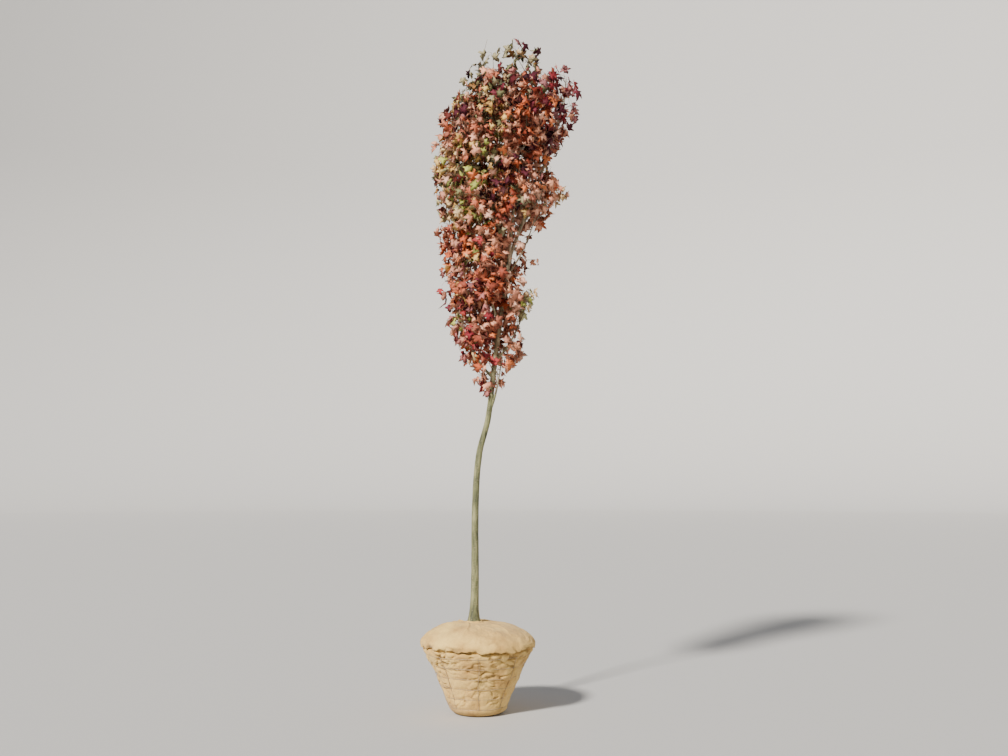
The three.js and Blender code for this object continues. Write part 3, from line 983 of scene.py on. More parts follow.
def rolled_tube(spine: Spine, sides: int, relief: Relief | None = None) -> BMesh:
    """Rolls a grid into a closed tube round a spine.

    Args:
        spine: The line that it follows, a ring of vertices for each of its points.
        sides: How many sides it has.
        relief: Gives how far each vertex stands proud, from its turn and its distance along.

    Returns:
        The tube, in metres, with both ends capped.
    """
    rings = len(spine.points)
    bm = bmesh.new()
    bmesh.ops.create_grid(bm, x_segments=sides, y_segments=rings - 1, size=0.5)
    grid = np.array([v.co for v in bm.verts])
    turns = (grid[:, 0] + 0.5) * TURN
    steps = np.rint((grid[:, 1] + 0.5) * (rings - 1)).astype(int)
    normals, binormals = spine.frames()
    seam = np.where(np.isclose(turns, TURN), 0.0, turns)
    radii = spine.radii[steps]
    if relief:
        radii = radii + relief(seam, spine.lengths()[steps])
    places = spine.points[steps]
    places = places + normals[steps] * (radii * np.cos(seam))[:, None]
    put(bm, places + binormals[steps] * (radii * np.sin(seam))[:, None])
    bmesh.ops.remove_doubles(bm, verts=bm.verts[:], dist=1e-6)
    bmesh.ops.holes_fill(bm, edges=[e for e in bm.edges if e.is_boundary], sides=0)
    bmesh.ops.triangulate(bm, faces=[f for f in bm.faces if len(f.verts) > 4])
    bmesh.ops.recalc_face_normals(bm, faces=bm.faces[:])
    return bm


def mesh_of(name: str, bm: BMesh) -> Mesh:
    """Turns a bmesh into a smooth mesh of that name and frees it."""
    mesh = bpy.data.meshes.new(name)
    bm.to_mesh(mesh)
    bm.free()
    shade_smooth(mesh)
    return mesh


class Bundle:
    """Many small closed tubes, kept as arrays and joined into one mesh."""

    def __init__(self) -> None:
        """Starts empty."""
        self.points: list[Array] = []
        self.faces: list[tuple[int, ...]] = []
        self.count = 0

    def add(self, points: Sequence[Vector], radii: Sequence[float], sides: int) -> None:
        """Adds a tube that ends in a point.

        Args:
            points: Its line, in millimetres.
            radii: The radius at each point but the last.
            sides: How many sides it has.
        """
        line = np.array(points, float)
        normals, binormals = Spine(line, np.zeros(len(line))).frames()
        turns = np.arange(sides) * TURN / sides
        ring = np.cos(turns)[:, None, None] * normals[:-1] + np.sin(turns)[:, None, None] * binormals[:-1]
        body = line[:-1] + ring * np.array(radii)[:, None]
        self.points += [body.transpose(1, 0, 2).reshape(-1, 3), line[-1:]]
        first, last = self.count, self.count + len(radii) * sides
        for level in range(len(radii) - 1):
            for side in range(sides):
                a = first + level * sides + side
                b = first + level * sides + (side + 1) % sides
                self.faces.append((a, b, b + sides, a + sides))
        tip_ring = last - sides
        for side in range(sides):
            self.faces.append((tip_ring + side, tip_ring + (side + 1) % sides, last))
        self.faces.append(tuple(first + side for side in reversed(range(sides))))
        self.count = last + 1

    def mesh(self, name: str) -> Mesh:
        """All tubes as one mesh, in metres."""
        mesh = bpy.data.meshes.new(name)
        mesh.from_pydata((np.concatenate(self.points) * MM).tolist(), [], self.faces)
        shade_smooth(mesh)
        return mesh


@dataclass(frozen=True)
class Leaf:
    """One leaf blade: where its foot is, which way it lies, its size, how it curls and its shade."""

    foot: Vector
    axis: Vector
    normal: Vector
    length: float
    fold: float
    curl: float
    twist: float
    shade: int


class LeafBlades:
    """The blades of one tint, kept as arrays and joined into one mesh."""

    # Half of a five-lobed outline, from the stalk to the tip, as [across, along] shares of the length
    HALF_OUTLINE = (
        *((0.0, 0.0), (0.14, -0.08), (0.38, -0.04), (0.30, 0.13), (0.44, 0.20), (0.62, 0.43)),
        *((0.40, 0.44), (0.19, 0.40), (0.23, 0.62), (0.11, 0.76), (0.0, 1.0)),
    )
    CENTRE = (0.0, 0.3)
    HALF_THICKNESS = 0.4
    SHADES = 3
    UNEVENNESS = 0.034
    SHRINKING = 0.35
    SEED = 53

    def __init__(self) -> None:
        """Starts empty."""
        self.leaves: list[Leaf] = []
        half = list(self.HALF_OUTLINE)
        other_half = [(-x, y) for x, y in reversed(half[1:-1])]
        self.outline = np.array(half + other_half)
        self.plan = np.vstack([self.outline, self.CENTRE, self.CENTRE])

    def faces(self) -> Array:
        """The blade's triangles: a fan over the face, and one under it that is turned round."""
        rim = len(self.outline)
        here = np.arange(rim)
        after = (here + 1) % rim
        over = np.stack([after, here, np.full(rim, rim)], 1)
        under = np.stack([here, after, np.full(rim, rim + 1)], 1)
        return np.vstack([over, under])

    def each(self, trait: str) -> Array:
        """A trait of every leaf, as an array."""
        return np.array([getattr(leaf, trait) for leaf in self.leaves])

    def places(self) -> Array:
        """Every blade's vertices, in millimetres, as an array [blade, vertex, axis]."""
        foot, axis, normal = map(self.each, ("foot", "axis", "normal"))
        sizes = (self.each(trait)[:, None] for trait in ("length", "fold", "curl", "twist"))
        length, fold, curl, twist = sizes
        side = np.cross(axis, normal)
        stray = np.random.default_rng(self.SEED).normal(0, self.UNEVENNESS, (len(foot), len(self.plan), 3))
        stray[:, 0] = 0
        stray[:, -1] = stray[:, -2]
        x, y = self.plan[:, 0] + stray[:, :, 0], self.plan[:, 1] + stray[:, :, 1]
        from_centre = np.hypot(x, y - self.CENTRE[1])
        rise = fold * np.abs(x) - curl * from_centre**2 + twist * x * y + stray[:, :, 2]
        shrink = 1 - self.SHRINKING * curl * from_centre
        lift = np.zeros(len(self.plan))
        lift[-2:] = (self.HALF_THICKNESS, -self.HALF_THICKNESS)
        across = (x * shrink * length)[:, :, None]
        along = (y * shrink * length)[:, :, None]
        high = (rise * length + lift)[:, :, None]
        return foot[:, None] + side[:, None] * across + axis[:, None] * along + normal[:, None] * high

    def mesh(self, name: str) -> Mesh:
        """All blades as one mesh, in metres, with each blade's plan as its UV map.

        Args:
            name: The mesh's name.

        Returns:
            The mesh, its faces numbered by shade, with the undersides last.
        """
        places = self.places()
        blades, corners = places.shape[:2]
        faces = self.faces()
        every = (faces[None] + (np.arange(blades) * corners)[:, None, None]).reshape(-1)
        mesh = bpy.data.meshes.new(name)
        mesh.vertices.add(blades * corners)
        mesh.vertices.foreach_set("co", (places * MM).reshape(-1))
        mesh.loops.add(len(every))
        mesh.loops.foreach_set("vertex_index", every.astype(np.int32))
        mesh.polygons.add(len(every) // 3)
        mesh.polygons.foreach_set("loop_start", np.arange(0, len(every), 3, dtype=np.int32))
        slots = np.full((blades, len(faces)), self.SHADES)
        slots[:, : len(self.outline)] = self.each("shade")[:, None]
        mesh.polygons.foreach_set("material_index", slots.reshape(-1).astype(np.int32))
        plan = np.tile(self.plan[faces.reshape(-1)], (blades, 1))
        mesh.uv_layers.new(name="leaf").data.foreach_set("uv", plan.reshape(-1))
        mesh.update(calc_edges=True)
        mesh.validate()
        return mesh


# Sub-assemblies


@dataclass
class Trunk:
    """The trunk, one tube with bark relief: flare, scars of shed twigs and slight swellings."""

    plan: TrunkPlan
    sides: int = 48
    ring_spacing: float = 3.0
    lift: float = 0.3
    lump_length: float = 130
    lump_height: float = 1.1
    streak_length: float = 60
    streak_height: float = 0.55
    first_scar: float = 90
    last_scar: float = 40
    scar_spacing: float = 150
    scar_size: float = 9
    scar_depth: float = 1.6
    scar_seed: int = 71
    buttresses: int = 5
    buttress_depth: float = 2.5
    least_relief: float = 0.25

    def spine(self) -> Spine:
        """The centre line and the radii, ring by ring."""
        rings = round(self.plan.length / self.ring_spacing) + 1
        heights = np.linspace(self.plan.foot, self.plan.top, rings)
        points = np.array([self.plan.point(h) for h in heights])
        points[:, 2] += self.lift
        return Spine(points, np.array([self.plan.radius_at(h) for h in heights]))

    def scars(self) -> Iterator[tuple[float, float, float]]:
        """The height, size and bearing of each scar, in pairs up the trunk."""
        draw = Draws(self.scar_seed)
        height, turn = self.first_scar, 0.4
        while height < self.plan.length - self.last_scar:
            size = self.scar_size * draw.between(0.6, 1.5) * lerp(1, 0.5, height / self.plan.length)
            yield height, size, turn
            yield height, size, turn + math.pi
            height += self.scar_spacing * draw.between(0.6, 1.5)
            turn += GOLDEN_ANGLE / 2

    def relief(self, turns: Array, along: Array) -> Array:
        """How far the bark stands proud of the plain taper, in millimetres."""
        rounds = circle(turns)
        lumps = fractal(np.column_stack([rounds * 0.9, along / self.lump_length]))
        streaks = fractal(np.column_stack([rounds * 3.2, along / self.streak_length]))
        proud = self.lump_height * lumps + self.streak_height * streaks
        buttresses = np.cos(turns * self.buttresses + 0.8 * np.sin(turns * 2))
        proud += np.exp(-along / self.plan.flare_height) * self.buttress_depth * buttresses
        for height, size, bearing in self.scars():
            gap = np.abs((turns - bearing + math.pi) % TURN - math.pi) * self.plan.radius
            spread = (gap / size) ** 2 + ((along - height) / (size * 0.7)) ** 2
            brow = (gap / (size * 1.6)) ** 2 + ((along - height - size) / (size * 0.35)) ** 2
            proud += self.scar_depth * (np.exp(-brow) + 0.8 * np.exp(-spread) * np.sign(spread - 0.4))
        return proud * np.clip(1 - along / self.plan.length, self.least_relief, 1)

    def build(self) -> None:
        """Makes the trunk and hands it to the frame."""
        mesh = mesh_of("trunk_bark", rolled_tube(self.spine(), self.sides, self.relief))
        hand_over(new_object(mesh, BARK.material()), "bark", "trunk")


@dataclass
class Boughs:
    """The boughs, each one tube with a collar where it leaves its carrier, and nodes along it."""

    limbs: Sequence[Limb]
    sides: int = 20
    ring_spacing: float = 4.0
    fewest_rings: int = 6
    collar: float = 0.45
    collar_length: float = 28
    lump_length: float = 45
    lump_height: float = 0.5
    node_spacing: float = 72
    first_node: float = 30
    node_length: float = 3.5
    node_height: float = 0.9
    noise_step: float = 7.3

    def spine(self, limb: Limb) -> Spine:
        """The line and radii of a limb's first share."""
        end = limb.share
        length = (limb.point(end) - limb.point(0)).length
        rings = max(self.fewest_rings, round(length / self.ring_spacing))
        shares = np.linspace(0, end, rings)
        points = np.array([limb.point(t) for t in shares])
        return Spine(points, np.array([limb.radius_at(t) for t in shares]))

    def relief(self, limb: Limb, seed: float) -> Relief:
        """The bark relief of one bough.

        Args:
            limb: The bough's limb.
            seed: A number that sets its noise apart.

        Returns:
            A function of the turn and the distance along.
        """

        def proud(turns: Array, along: Array) -> Array:
            """How far the bark stands proud, in millimetres."""
            lumps = fractal(np.column_stack([circle(turns) * 0.8 + seed, along / self.lump_length]))
            collar = self.collar * limb.radius * np.exp(-along / self.collar_length)
            nodes = hump(along % self.node_spacing, self.first_node, self.node_length) * self.node_height
            return self.lump_height * lumps + collar + nodes

        return proud

    def build(self) -> None:
        """Makes every bough and hands it to the frame."""
        finish = BARK.material()
        for index, limb in enumerate(self.limbs):
            bm = rolled_tube(self.spine(limb), self.sides, self.relief(limb, index * self.noise_step))
            hand_over(new_object(mesh_of("bark_" + limb.name, bm), finish), "bark", limb.name)


@dataclass(frozen=True)
class Shoot:
    """A straight twig of the growing rule, or the reach of one of its sprays."""

    place: Vector
    axis: Vector
    facing: Vector
    length: float


@dataclass
class GrowingRule:
    """The seeded rule that the solids' foliage follows, written for one mass at a time."""

    seed: int = 4100
    twigs: int = 12
    twig_zone: tuple[float, float] = (0.04, 0.97)
    twig_jitter: float = 0.5
    twig_length: float = 190
    twig_shortening: float = 0.5
    twig_tries: tuple[float, ...] = (1, 0.8, 0.6, 0.45)
    twig_angle: float = 0.95
    twig_lift: float = 0.2
    leaf_pairs_at: tuple[float, ...] = (0.35, 0.65, 0.9)
    leaf_length: float = 142
    leaf_spread_of_lengths: float = 0.2
    leaf_tries: tuple[float, ...] = (1, 0.82, 0.66)
    leaf_spread: float = 1.2
    leaf_droop: float = 0.25
    leaf_tilt: float = 0.5
    leaf_sink: float = 1.5
    leaf_stagger: float = 9
    leaf_rooting: float = 9
    match_distance: float = 1.5

    def corners(self, node: str) -> KDTree:
        """The corners of a foliage solid, in millimetres."""
        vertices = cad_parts[node].data.vertices
        tree = KDTree(len(vertices))
        for index, vertex in enumerate(vertices):
            tree.insert(vertex.co / MM, index)
        tree.balance()
        return tree

    def grown(self, corners: KDTree, place: Vector, axis: Vector, reaches: Sequence[float]) -> int | None:
        """Which of its tries a twig or leaf grew at: the one whose tip the solid has.

        Args:
            corners: The solid's corners.
            place: Where the shoot starts.
            axis: Its direction.
            reaches: How far each try reaches.

        Returns:
            The try's index, or None if the shoot was skipped.
        """
        for index, reach in enumerate(reaches):
            _, _, distance = corners.find(place + axis * reach)
            if distance < self.match_distance:
                return index
        return None

    def leaf_pair(self, place: Vector, twig: Shoot, draw: Draws) -> Iterator[Shoot]:
        """The pair of leaves at a place on a twig, one on each of its upper sides."""
        for hand in (-1, 1):
            side = Matrix.Rotation(hand * math.pi / 3, 3, twig.axis) @ twig.facing
            out = twig.axis * math.cos(self.leaf_spread) + side * math.sin(self.leaf_spread)
            normal = twig.axis.cross(side) * -hand
            length = self.leaf_length * (1 - self.leaf_spread_of_lengths * draw())
            axis = (out - UP * self.leaf_droop).normalized()
            facing = normal + draw.tilt(self.leaf_tilt)
            yield Shoot(place + twig.axis * (hand * self.leaf_stagger), axis, facing, length)

    def mass(self, limb: Limb, own: int) -> tuple[list[Shoot], list[Shoot]]:
        """Grows one mass.

        Args:
            limb: The limb that it grows on from.
            own: The limb's number.

        Returns:
            Its twigs, and the reach of each of the sprays that its leaves stand for.
        """
        draw = Draws(self.seed + own)
        corners = self.corners(limb.mass)
        twigs, sprays = [], []
        turn_start = draw() * TURN
        for k in range(self.twigs):
            along = lerp(*self.twig_zone, (k + self.twig_jitter * draw()) / self.twigs)
            share = lerp(limb.share, 1, along)
            tangent = limb.tangent(share)
            side = aside(tangent, turn_start + k * GOLDEN_ANGLE)
            axis = tangent * math.cos(self.twig_angle) + side * math.sin(self.twig_angle)
            axis = (axis + UP * self.twig_lift).normalized()
            facing = draw.tilt(self.leaf_tilt) + UP
            facing = (facing - axis * facing.dot(axis)).normalized()
            length = self.twig_length * (1 - self.twig_shortening * along)
            leaf_length = self.leaf_length * (1 - self.leaf_spread_of_lengths * draw())
            shortest = self.leaf_tries[-1]
            place = limb.point(share)
            reaches = [length * t + leaf_length * max(t, shortest) for t in self.twig_tries]
            found = self.grown(corners, place, axis, reaches)
            size = 1 if found is None else self.twig_tries[found]
            twig = Shoot(place, axis, facing, length * size)
            if found is not None:
                twigs.append(twig)
                end_leaf = leaf_length * max(size, shortest)
                sprays.append(Shoot(place + axis * twig.length, axis, facing, end_leaf))
            for at in self.leaf_pairs_at:
                for leaf in self.leaf_pair(place + axis * twig.length * at, twig, draw):
                    reaches = [leaf.length * t - self.leaf_sink for t in self.leaf_tries]
                    index = None if found is None else self.grown(corners, leaf.place, leaf.axis, reaches)
                    if index is not None:
                        sprays.append(Shoot(leaf.place, leaf.axis, leaf.facing, reaches[index]))
        tangent = limb.tangent(1)
        sprays.append(Shoot(limb.tip - tangent * self.leaf_rooting, tangent, UP.copy(), self.leaf_length))
        return twigs, sprays


@dataclass(frozen=True)
class ThinZone:
    """A part of the crown, seen from the front, where the photo shows more sky."""

    across: float
    height: float
    half_width: float
    half_height: float
    keep: float
    back: float = math.inf

    def holds(self, point: Vector) -> bool:
        """True if a point is in the zone."""
        share = (point.x - self.across) / self.half_width, (point.z - self.height) / self.half_height
        return math.hypot(*share) < 1 and point.y < self.back


# Thin zones, as [across, height, half width, half height, keep], and how far back some of them reach
THIN_ZONES = tuple(
    ThinZone(*row)
    for row in (
        *((0, 4490, 125, 135, 0.12), (-75, 4370, 90, 100, 0.2), (-165, 4270, 80, 90, 0.3)),
        *((215, 4570, 265, 130, 0.17), (220, 4390, 200, 140, 0.36), (560, 4440, 150, 150, 0.14)),
        *((440, 4380, 65, 130, 0.2), (640, 4200, 130, 170, 0.36), (-235, 4225, 115, 125, 0.1)),
        *((-335, 3850, 75, 200, 0.35), (600, 3640, 90, 70, 0.2), (545, 3725, 75, 85, 0.15)),
        *((370, 3200, 100, 85, 0.12), (350, 2905, 120, 48, 0.06), (345, 2560, 100, 80, 0.06)),
        *((112, 2360, 50, 150, 0.1, 0), (146, 2580, 56, 170, 0.08, 0), (212, 3060, 60, 180, 0.08, 10)),
        *((280, 3270, 60, 120, 0.1, 10), (210, 2190, 100, 100, 0.2), (-120, 2270, 100, 90, 0.35)),
    )
)


class Wood:
    """The points of the limbs and twigs, which a finer twig may leave from."""

    GAP = 30

    def __init__(self) -> None:
        """Starts with none."""
        self.points: list[Vector] = []
        self.tree: KDTree | None = None

    def add(self, start: Vector, end: Vector) -> None:
        """Adds points along a straight stretch."""
        steps = max(1, round((end - start).length / self.GAP))
        self.points += [start.lerp(end, (i + 1) / steps) for i in range(steps)]

    def index(self) -> None:
        """Sorts the points, so that nearest() knows them all."""
        self.tree = KDTree(len(self.points))
        for number, point in enumerate(self.points):
            self.tree.insert(point, number)
        self.tree.balance()

    def nearest(self, place: Vector) -> tuple[Vector, float]:
        """The nearest point to a place, and its distance."""
        point, _, distance = self.tree.find(place)
        return point, distance


class Spacing:
    """Places already taken, kept by cell, so that new ones keep their distance."""

    CELL = 150

    def __init__(self) -> None:
        """Starts with none."""
        self.cells: dict[tuple[int, ...], list[Vector]] = {}

    def cell(self, place: Vector) -> tuple[int, ...]:
        """The cell that a place is in."""
        return tuple(math.floor(value / self.CELL) for value in place)

    def take(self, place: Vector) -> None:
        """Marks a place as taken."""
        self.cells.setdefault(self.cell(place), []).append(place)

    def free(self, place: Vector, gap: float) -> bool:
        """True if no place nearer than a gap, of a cell at most, is taken."""
        a, b, c = self.cell(place)
        ways = (-1, 0, 1)
        near = (self.cells.get((a + i, b + j, c + k), ()) for i in ways for j in ways for k in ways)
        return all((other - place).length >= gap for cell in near for other in cell)


@dataclass(frozen=True)
class LeafHabit:
    """How a leaf hangs on its stalk, how its blade bends, and where it gets painted shade."""

    blade_lengths: tuple[float, float] = (50, 88)
    stalk_lengths: tuple[float, float] = (20, 52)
    stalk_radius: float = 0.9
    stalk_swelling: float = 1.3
    stalk_overlap: float = 2
    stalk_bow: float = 0.55
    sag: tuple[float, float] = (0, 0.35)
    onward: float = 0.7
    hang: tuple[float, float] = (0.2, 1.5)
    axis_tilt: float = 0.6
    upward: float = 0.45
    outward: float = 0.55
    face_tilt: float = 0.5
    turned_over: float = 0.16
    fold: tuple[float, float] = (0.05, 0.85)
    flatness: float = 1.4
    twist: tuple[float, float] = (-0.6, 0.6)
    lobe_reach: float = 0.62
    lobe_place: float = 0.42
    # Painted shade: leaves deep in the crown and near its top get the darker faces of their tint
    dark_depth: float = 190
    painted_shade_inside: float = 0.5
    dark_height: float = 4150
    dark_rise: float = 350
    painted_shade_top: float = 0.3
    shade_steps: tuple[float, ...] = (0.56, 0.98)


@dataclass(frozen=True)
class SprayHabit:
    """How the leaves of a twig's end are set: opposite pairs, each crosswise to the last."""

    lean: float = 0.7
    first_pair: float = 0.7
    stray_turn: tuple[float, float] = (-0.35, 0.35)
    spread: tuple[float, float] = (0.6, 1.3)
    end_tilt: float = 0.3
    stray_tint: float = 0.13
    shortest: float = 20
    short: float = 35
    own_length: float = 60


@dataclass
class Foliage:
    """The masses of foliage: stems, twigs, stalks and leaves."""

    limbs: Sequence[Limb]
    trunk: TrunkPlan
    crown: CrownPlan
    rule: GrowingRule
    leaf: LeafHabit = field(default_factory=LeafHabit)
    spray: SprayHabit = field(default_factory=SprayHabit)
    twig_radius: float = 3.2
    twiglet_radius: float = 1.5
    twiglet_growth: tuple[float, float] = (0.9, 1.6)
    twiglet_lift: float = 0.1
    twig_taper: tuple[float, ...] = (1, 0.8, 0.6)
    twig_waver: float = 0.05
    twig_point: float = 6
    stout_twig: float = 2
    stem_sides: int = 9
    stem_steps: int = 14
    stem_rooting: float = 0.98
    stem_thinning: float = 0.45
    wood_start: int = 2200
    wood_step: int = 60
    limb_parts: int = 20
    first_mark: int = 3
    throws: int = 60000
    throw_across: tuple[float, float] = (-360, 740)
    throw_deep: tuple[float, float] = (-470, 470)
    throw_inset: float = 12
    spray_gaps: tuple[float, float] = (66, 98)
    shell_depth: float = 220
    longest_twig: float = 340
    batch: int = 120
    outline_slack: float = 8
    outline_wander: float = 26
    wander_size: float = 95
    clump_size: float = 130
    clump_gap: float = -0.14
    gap_keep: float = 0.16
    hollow_depth: float = 95
    box_growth: float = 0.015
    seed: int = 977
    shoot_tip: Vector = vector_field(52, -30, 4600)
    shoot_length: float = 190
    stems: Bundle = field(default_factory=Bundle)
    stalks: Bundle = field(default_factory=Bundle)
    blades: dict[Tint, LeafBlades] = field(default_factory=dict)
    wood: Wood = field(default_factory=Wood)
    taken: Spacing = field(default_factory=Spacing)

    def room(self, point: Vector) -> bool:
        """True if a point is inside the crown's outline, which wanders a little."""
        slack = self.outline_slack + self.outline_wander * noise.noise(point / self.wander_size)
        return self.crown.holds(point, slack)

    def in_box(self, point: Vector) -> bool:
        """True if a point is in the model's box, grown by the allowed share of its sides."""
        low, high = (np.array(corner) / MM for corner in CAD_BOX)
        spare = (high - low) * self.box_growth
        return bool(np.all(np.array(point) > low - spare) and np.all(np.array(point) < high + spare))

    def kept(self, point: Vector, draw: Draws) -> bool:
        """False if a thin zone, or a hollow between two clumps, drops what would stand at a point."""
        chance = draw()
        if chance >= self.gap_keep and noise.noise(point / self.clump_size) < self.clump_gap:
            if self.crown.depth_of(point) < self.hollow_depth:
                return False
        return all(chance < zone.keep for zone in THIN_ZONES if zone.holds(point))

    def shade_at(self, place: Vector, draw: Draws) -> int:
        """A leaf's shade of its tint: random, plus painted shade deep in the crown and at its top."""
        inside = clamp(self.crown.depth_of(place) / self.leaf.dark_depth)
        overhead = clamp((place.z - self.leaf.dark_height) / self.leaf.dark_rise)
        # A random tone, plus painted shade for depth in the crown and for the top
        tone_and_painted_shade = draw() + inside * self.leaf.painted_shade_inside + overhead * self.leaf.painted_shade_top
        return sum(tone_and_painted_shade > step for step in self.leaf.shade_steps)

    def add_leaf(self, node: Vector, way: Vector, lean: Vector, tint: Tint, draw: Draws) -> bool:
        """Adds a leaf on its stalk, if there is room for it.

        Args:
            node: Where the stalk leaves its twig.
            way: The direction that it leaves in.
            lean: How the leaves of its spray lean.
            tint: The leaf's tint.
            draw: The stream to draw from.

        Returns:
            True if it was added.
        """
        habit = self.leaf
        stalk = draw.between(*habit.stalk_lengths)
        length = draw.between(*habit.blade_lengths)
        foot = node + way * stalk - UP * draw.between(*habit.sag) * stalk
        bow = node + way * stalk * habit.stalk_bow
        hang = UP * draw.between(*habit.hang)
        axis = (way * habit.onward - hang + draw.tilt(habit.axis_tilt)).normalized()
        outward = Vector((foot.x - self.crown.middle(foot.z), foot.y, 0)).normalized()
        normal = UP * habit.upward + outward * habit.outward + lean + draw.tilt(habit.face_tilt)
        normal = (normal - axis * normal.dot(axis)).normalized()
        if draw() < habit.turned_over:
            normal = -normal
        shade = self.shade_at(foot, draw)
        bends = draw.between(*habit.fold), draw() ** habit.flatness, draw.between(*habit.twist)
        tip = foot + axis * length
        lobes = axis.cross(normal) * length * habit.lobe_reach
        middle = foot.lerp(tip, habit.lobe_place)
        ends = (tip, foot, middle + lobes, middle - lobes)
        grows = self.kept(foot, draw) and self.room(tip) and self.room(foot) and all(map(self.in_box, ends))
        if grows:
            blades = self.blades.setdefault(tint, LeafBlades())
            blades.leaves.append(Leaf(foot, axis, normal, length, *bends, shade))
            radii = [habit.stalk_radius * habit.stalk_swelling, habit.stalk_radius]
            self.stalks.add([node, bow, foot + axis * habit.stalk_overlap], radii, 3)
        return grows

    def leaf_tint(self, tint: Tint, place: Vector, draw: Draws) -> Tint:
        """The spray's tint, or now and then a neighbour's."""
        return tint_at(place, draw) if draw() < self.spray.stray_tint else tint

    def add_spray(self, start: Vector, end: Vector, pairs: int, draw: Draws) -> float:
        """Adds the leaves of a twig's end: opposite pairs, each crosswise to the last, and one at its tip.

        Args:
            start: The point of the twig that its leaves start at.
            end: Its tip.
            pairs: How many pairs of leaves it has.
            draw: The stream to draw from.

        Returns:
            The share of the way from start to end that its leaves reach, 0 if there was room for none.
        """
        axis = (end - start).normalized()
        tint = tint_at(end, draw)
        turn = draw() * TURN
        lean = draw.tilt(self.spray.lean)
        reach = 0.0
        for pair in range(pairs):
            share = (pair + self.spray.first_pair) / pairs
            node = start.lerp(end, share)
            for hand in (0, 1):
                stray = draw.between(*self.spray.stray_turn)
                side = aside(axis, turn + pair * TURN / 4 + hand * TURN / 2 + stray)
                spread = draw.between(*self.spray.spread)
                way = (axis * math.cos(spread) + side * math.sin(spread)).normalized()
                if self.add_leaf(node, way, lean, self.leaf_tint(tint, node, draw), draw):
                    reach = share
        way = (axis + draw.tilt(self.spray.end_tilt)).normalized()
        return 1.0 if self.add_leaf(end, way, lean, self.leaf_tint(tint, end, draw), draw) else reach

    def add_twig(self, start: Vector, end: Vector, radius: float, lift: float, draw: Draws) -> None:
        """Adds a twig, bowed a little, and marks it as wood.

        Args:
            start: Where it leaves its carrier.
            end: Its tip.
            radius: Its radius at the start.
            lift: How far its middle is raised, as a share of its length.
            draw: The stream to draw from.
        """
        length = (end - start).length
        bow = start.lerp(end, 0.5) + draw.tilt(length * self.twig_waver) + UP * length * lift
        last = end + (end - bow).normalized() * self.twig_point
        radii = [radius * share for share in self.twig_taper]
        self.stems.add([start, bow, end, last], radii, 4 if radius < self.stout_twig else 5)
        self.wood.add(start, bow)
        self.wood.add(bow, end)

    def add_stem(self, limb: Limb) -> None:
        """Adds the stem that carries on from a bough's tip, and marks the whole limb as wood."""
        steps = self.stem_steps
        shares = [lerp(limb.share * self.stem_rooting, 1, i / steps) for i in range(steps + 1)]
        past_bough = [(t - limb.share) / (1 - limb.share) for t in shares[:-1]]
        radii = [limb.radius_at(t) * lerp(1, self.stem_thinning, p) for t, p in zip(shares, past_bough)]
        self.stems.add([limb.point(t) for t in shares], radii, self.stem_sides)
        marks = [limb.point(i / self.limb_parts) for i in range(self.first_mark, self.limb_parts + 1)]
        for ends in zip(marks, marks[1:]):
            self.wood.add(*ends)

    def spray_places(self, draw: Draws) -> list[Vector]:
        """Places for more sprays, spread evenly in what room is left, closer near the crown's surface."""
        bounds = (self.throw_across, self.throw_deep, self.crown.heights)
        places = []
        for _ in range(self.throws):
            place = Vector([draw.between(*ends) for ends in bounds])
            if not self.crown.holds(place, -self.throw_inset) or not self.kept(place, draw):
                continue
            depth = clamp(self.crown.depth_of(place) / self.shell_depth)
            if self.taken.free(place, lerp(*self.spray_gaps, depth)):
                self.taken.take(place)
                places.append(place)
        return places

    def fill(self, draw: Draws) -> None:
        """Grows finer twigs from the nearest wood to places with no spray yet, the nearest first."""
        self.wood.index()
        places = sorted(self.spray_places(draw), key=lambda place: self.wood.nearest(place)[1])
        grown = 0
        for start in range(0, len(places), self.batch):
            self.wood.index()
            for place in places[start : start + self.batch]:
                foot, distance = self.wood.nearest(place)
                if distance > self.longest_twig:
                    continue
                first_node = place.lerp(foot, min(distance, self.spray.own_length) / max(distance, 1))
                reach = self.add_spray(first_node, place, 2, draw)
                if reach > 0:
                    grown += 1
                    radius = self.twiglet_radius * lerp(*self.twiglet_growth, distance / self.longest_twig)
                    self.add_twig(foot, first_node.lerp(place, reach), radius, self.twiglet_lift, draw)
        LOG.info("%d finer twigs for %d places", grown, len(places))

    def bare_shoot(self, draw: Draws) -> None:
        """Adds the one leafless shoot that stands out of the top on the left."""
        self.wood.index()
        foot, _ = self.wood.nearest(self.shoot_tip - UP * self.shoot_length)
        self.add_twig(foot, self.shoot_tip, self.twiglet_radius, 0, draw)

    def grow_mass(self, own: int, limb: Limb, draw: Draws) -> None:
        """Grows one mass by the rule: its stem, its twigs, and a spray for each leaf of the solid."""
        twigs, sprays = self.rule.mass(limb, own)
        self.add_stem(limb)
        for twig in twigs:
            self.add_twig(twig.place, twig.place + twig.axis * twig.length, self.twig_radius, 0, draw)
        blade = sum(self.leaf.blade_lengths) / 2
        for spray in sprays:
            length = max(spray.length - blade - self.leaf.stalk_lengths[0], self.spray.shortest)
            end = spray.place + spray.axis * length
            reach = self.add_spray(spray.place, end, 1 if length < self.spray.short else 2, draw)
            if reach > 0:
                self.add_twig(spray.place, spray.place.lerp(end, reach), self.twiglet_radius, 0, draw)
            self.taken.take(end)
        LOG.info("%s: %d twigs, %d sprays", limb.mass, len(twigs), len(sprays))

    def grow(self) -> None:
        """Grows every mass by the rule, and then the finer twigs."""
        for height in range(self.wood_start, round(self.trunk.top), self.wood_step):
            self.wood.add(self.trunk.point(height), self.trunk.point(height + self.wood_step))
        for own, limb in enumerate(self.limbs):
            self.grow_mass(own, limb, Draws(self.seed + own))
        self.fill(Draws(self.seed))
        self.bare_shoot(Draws(self.seed))

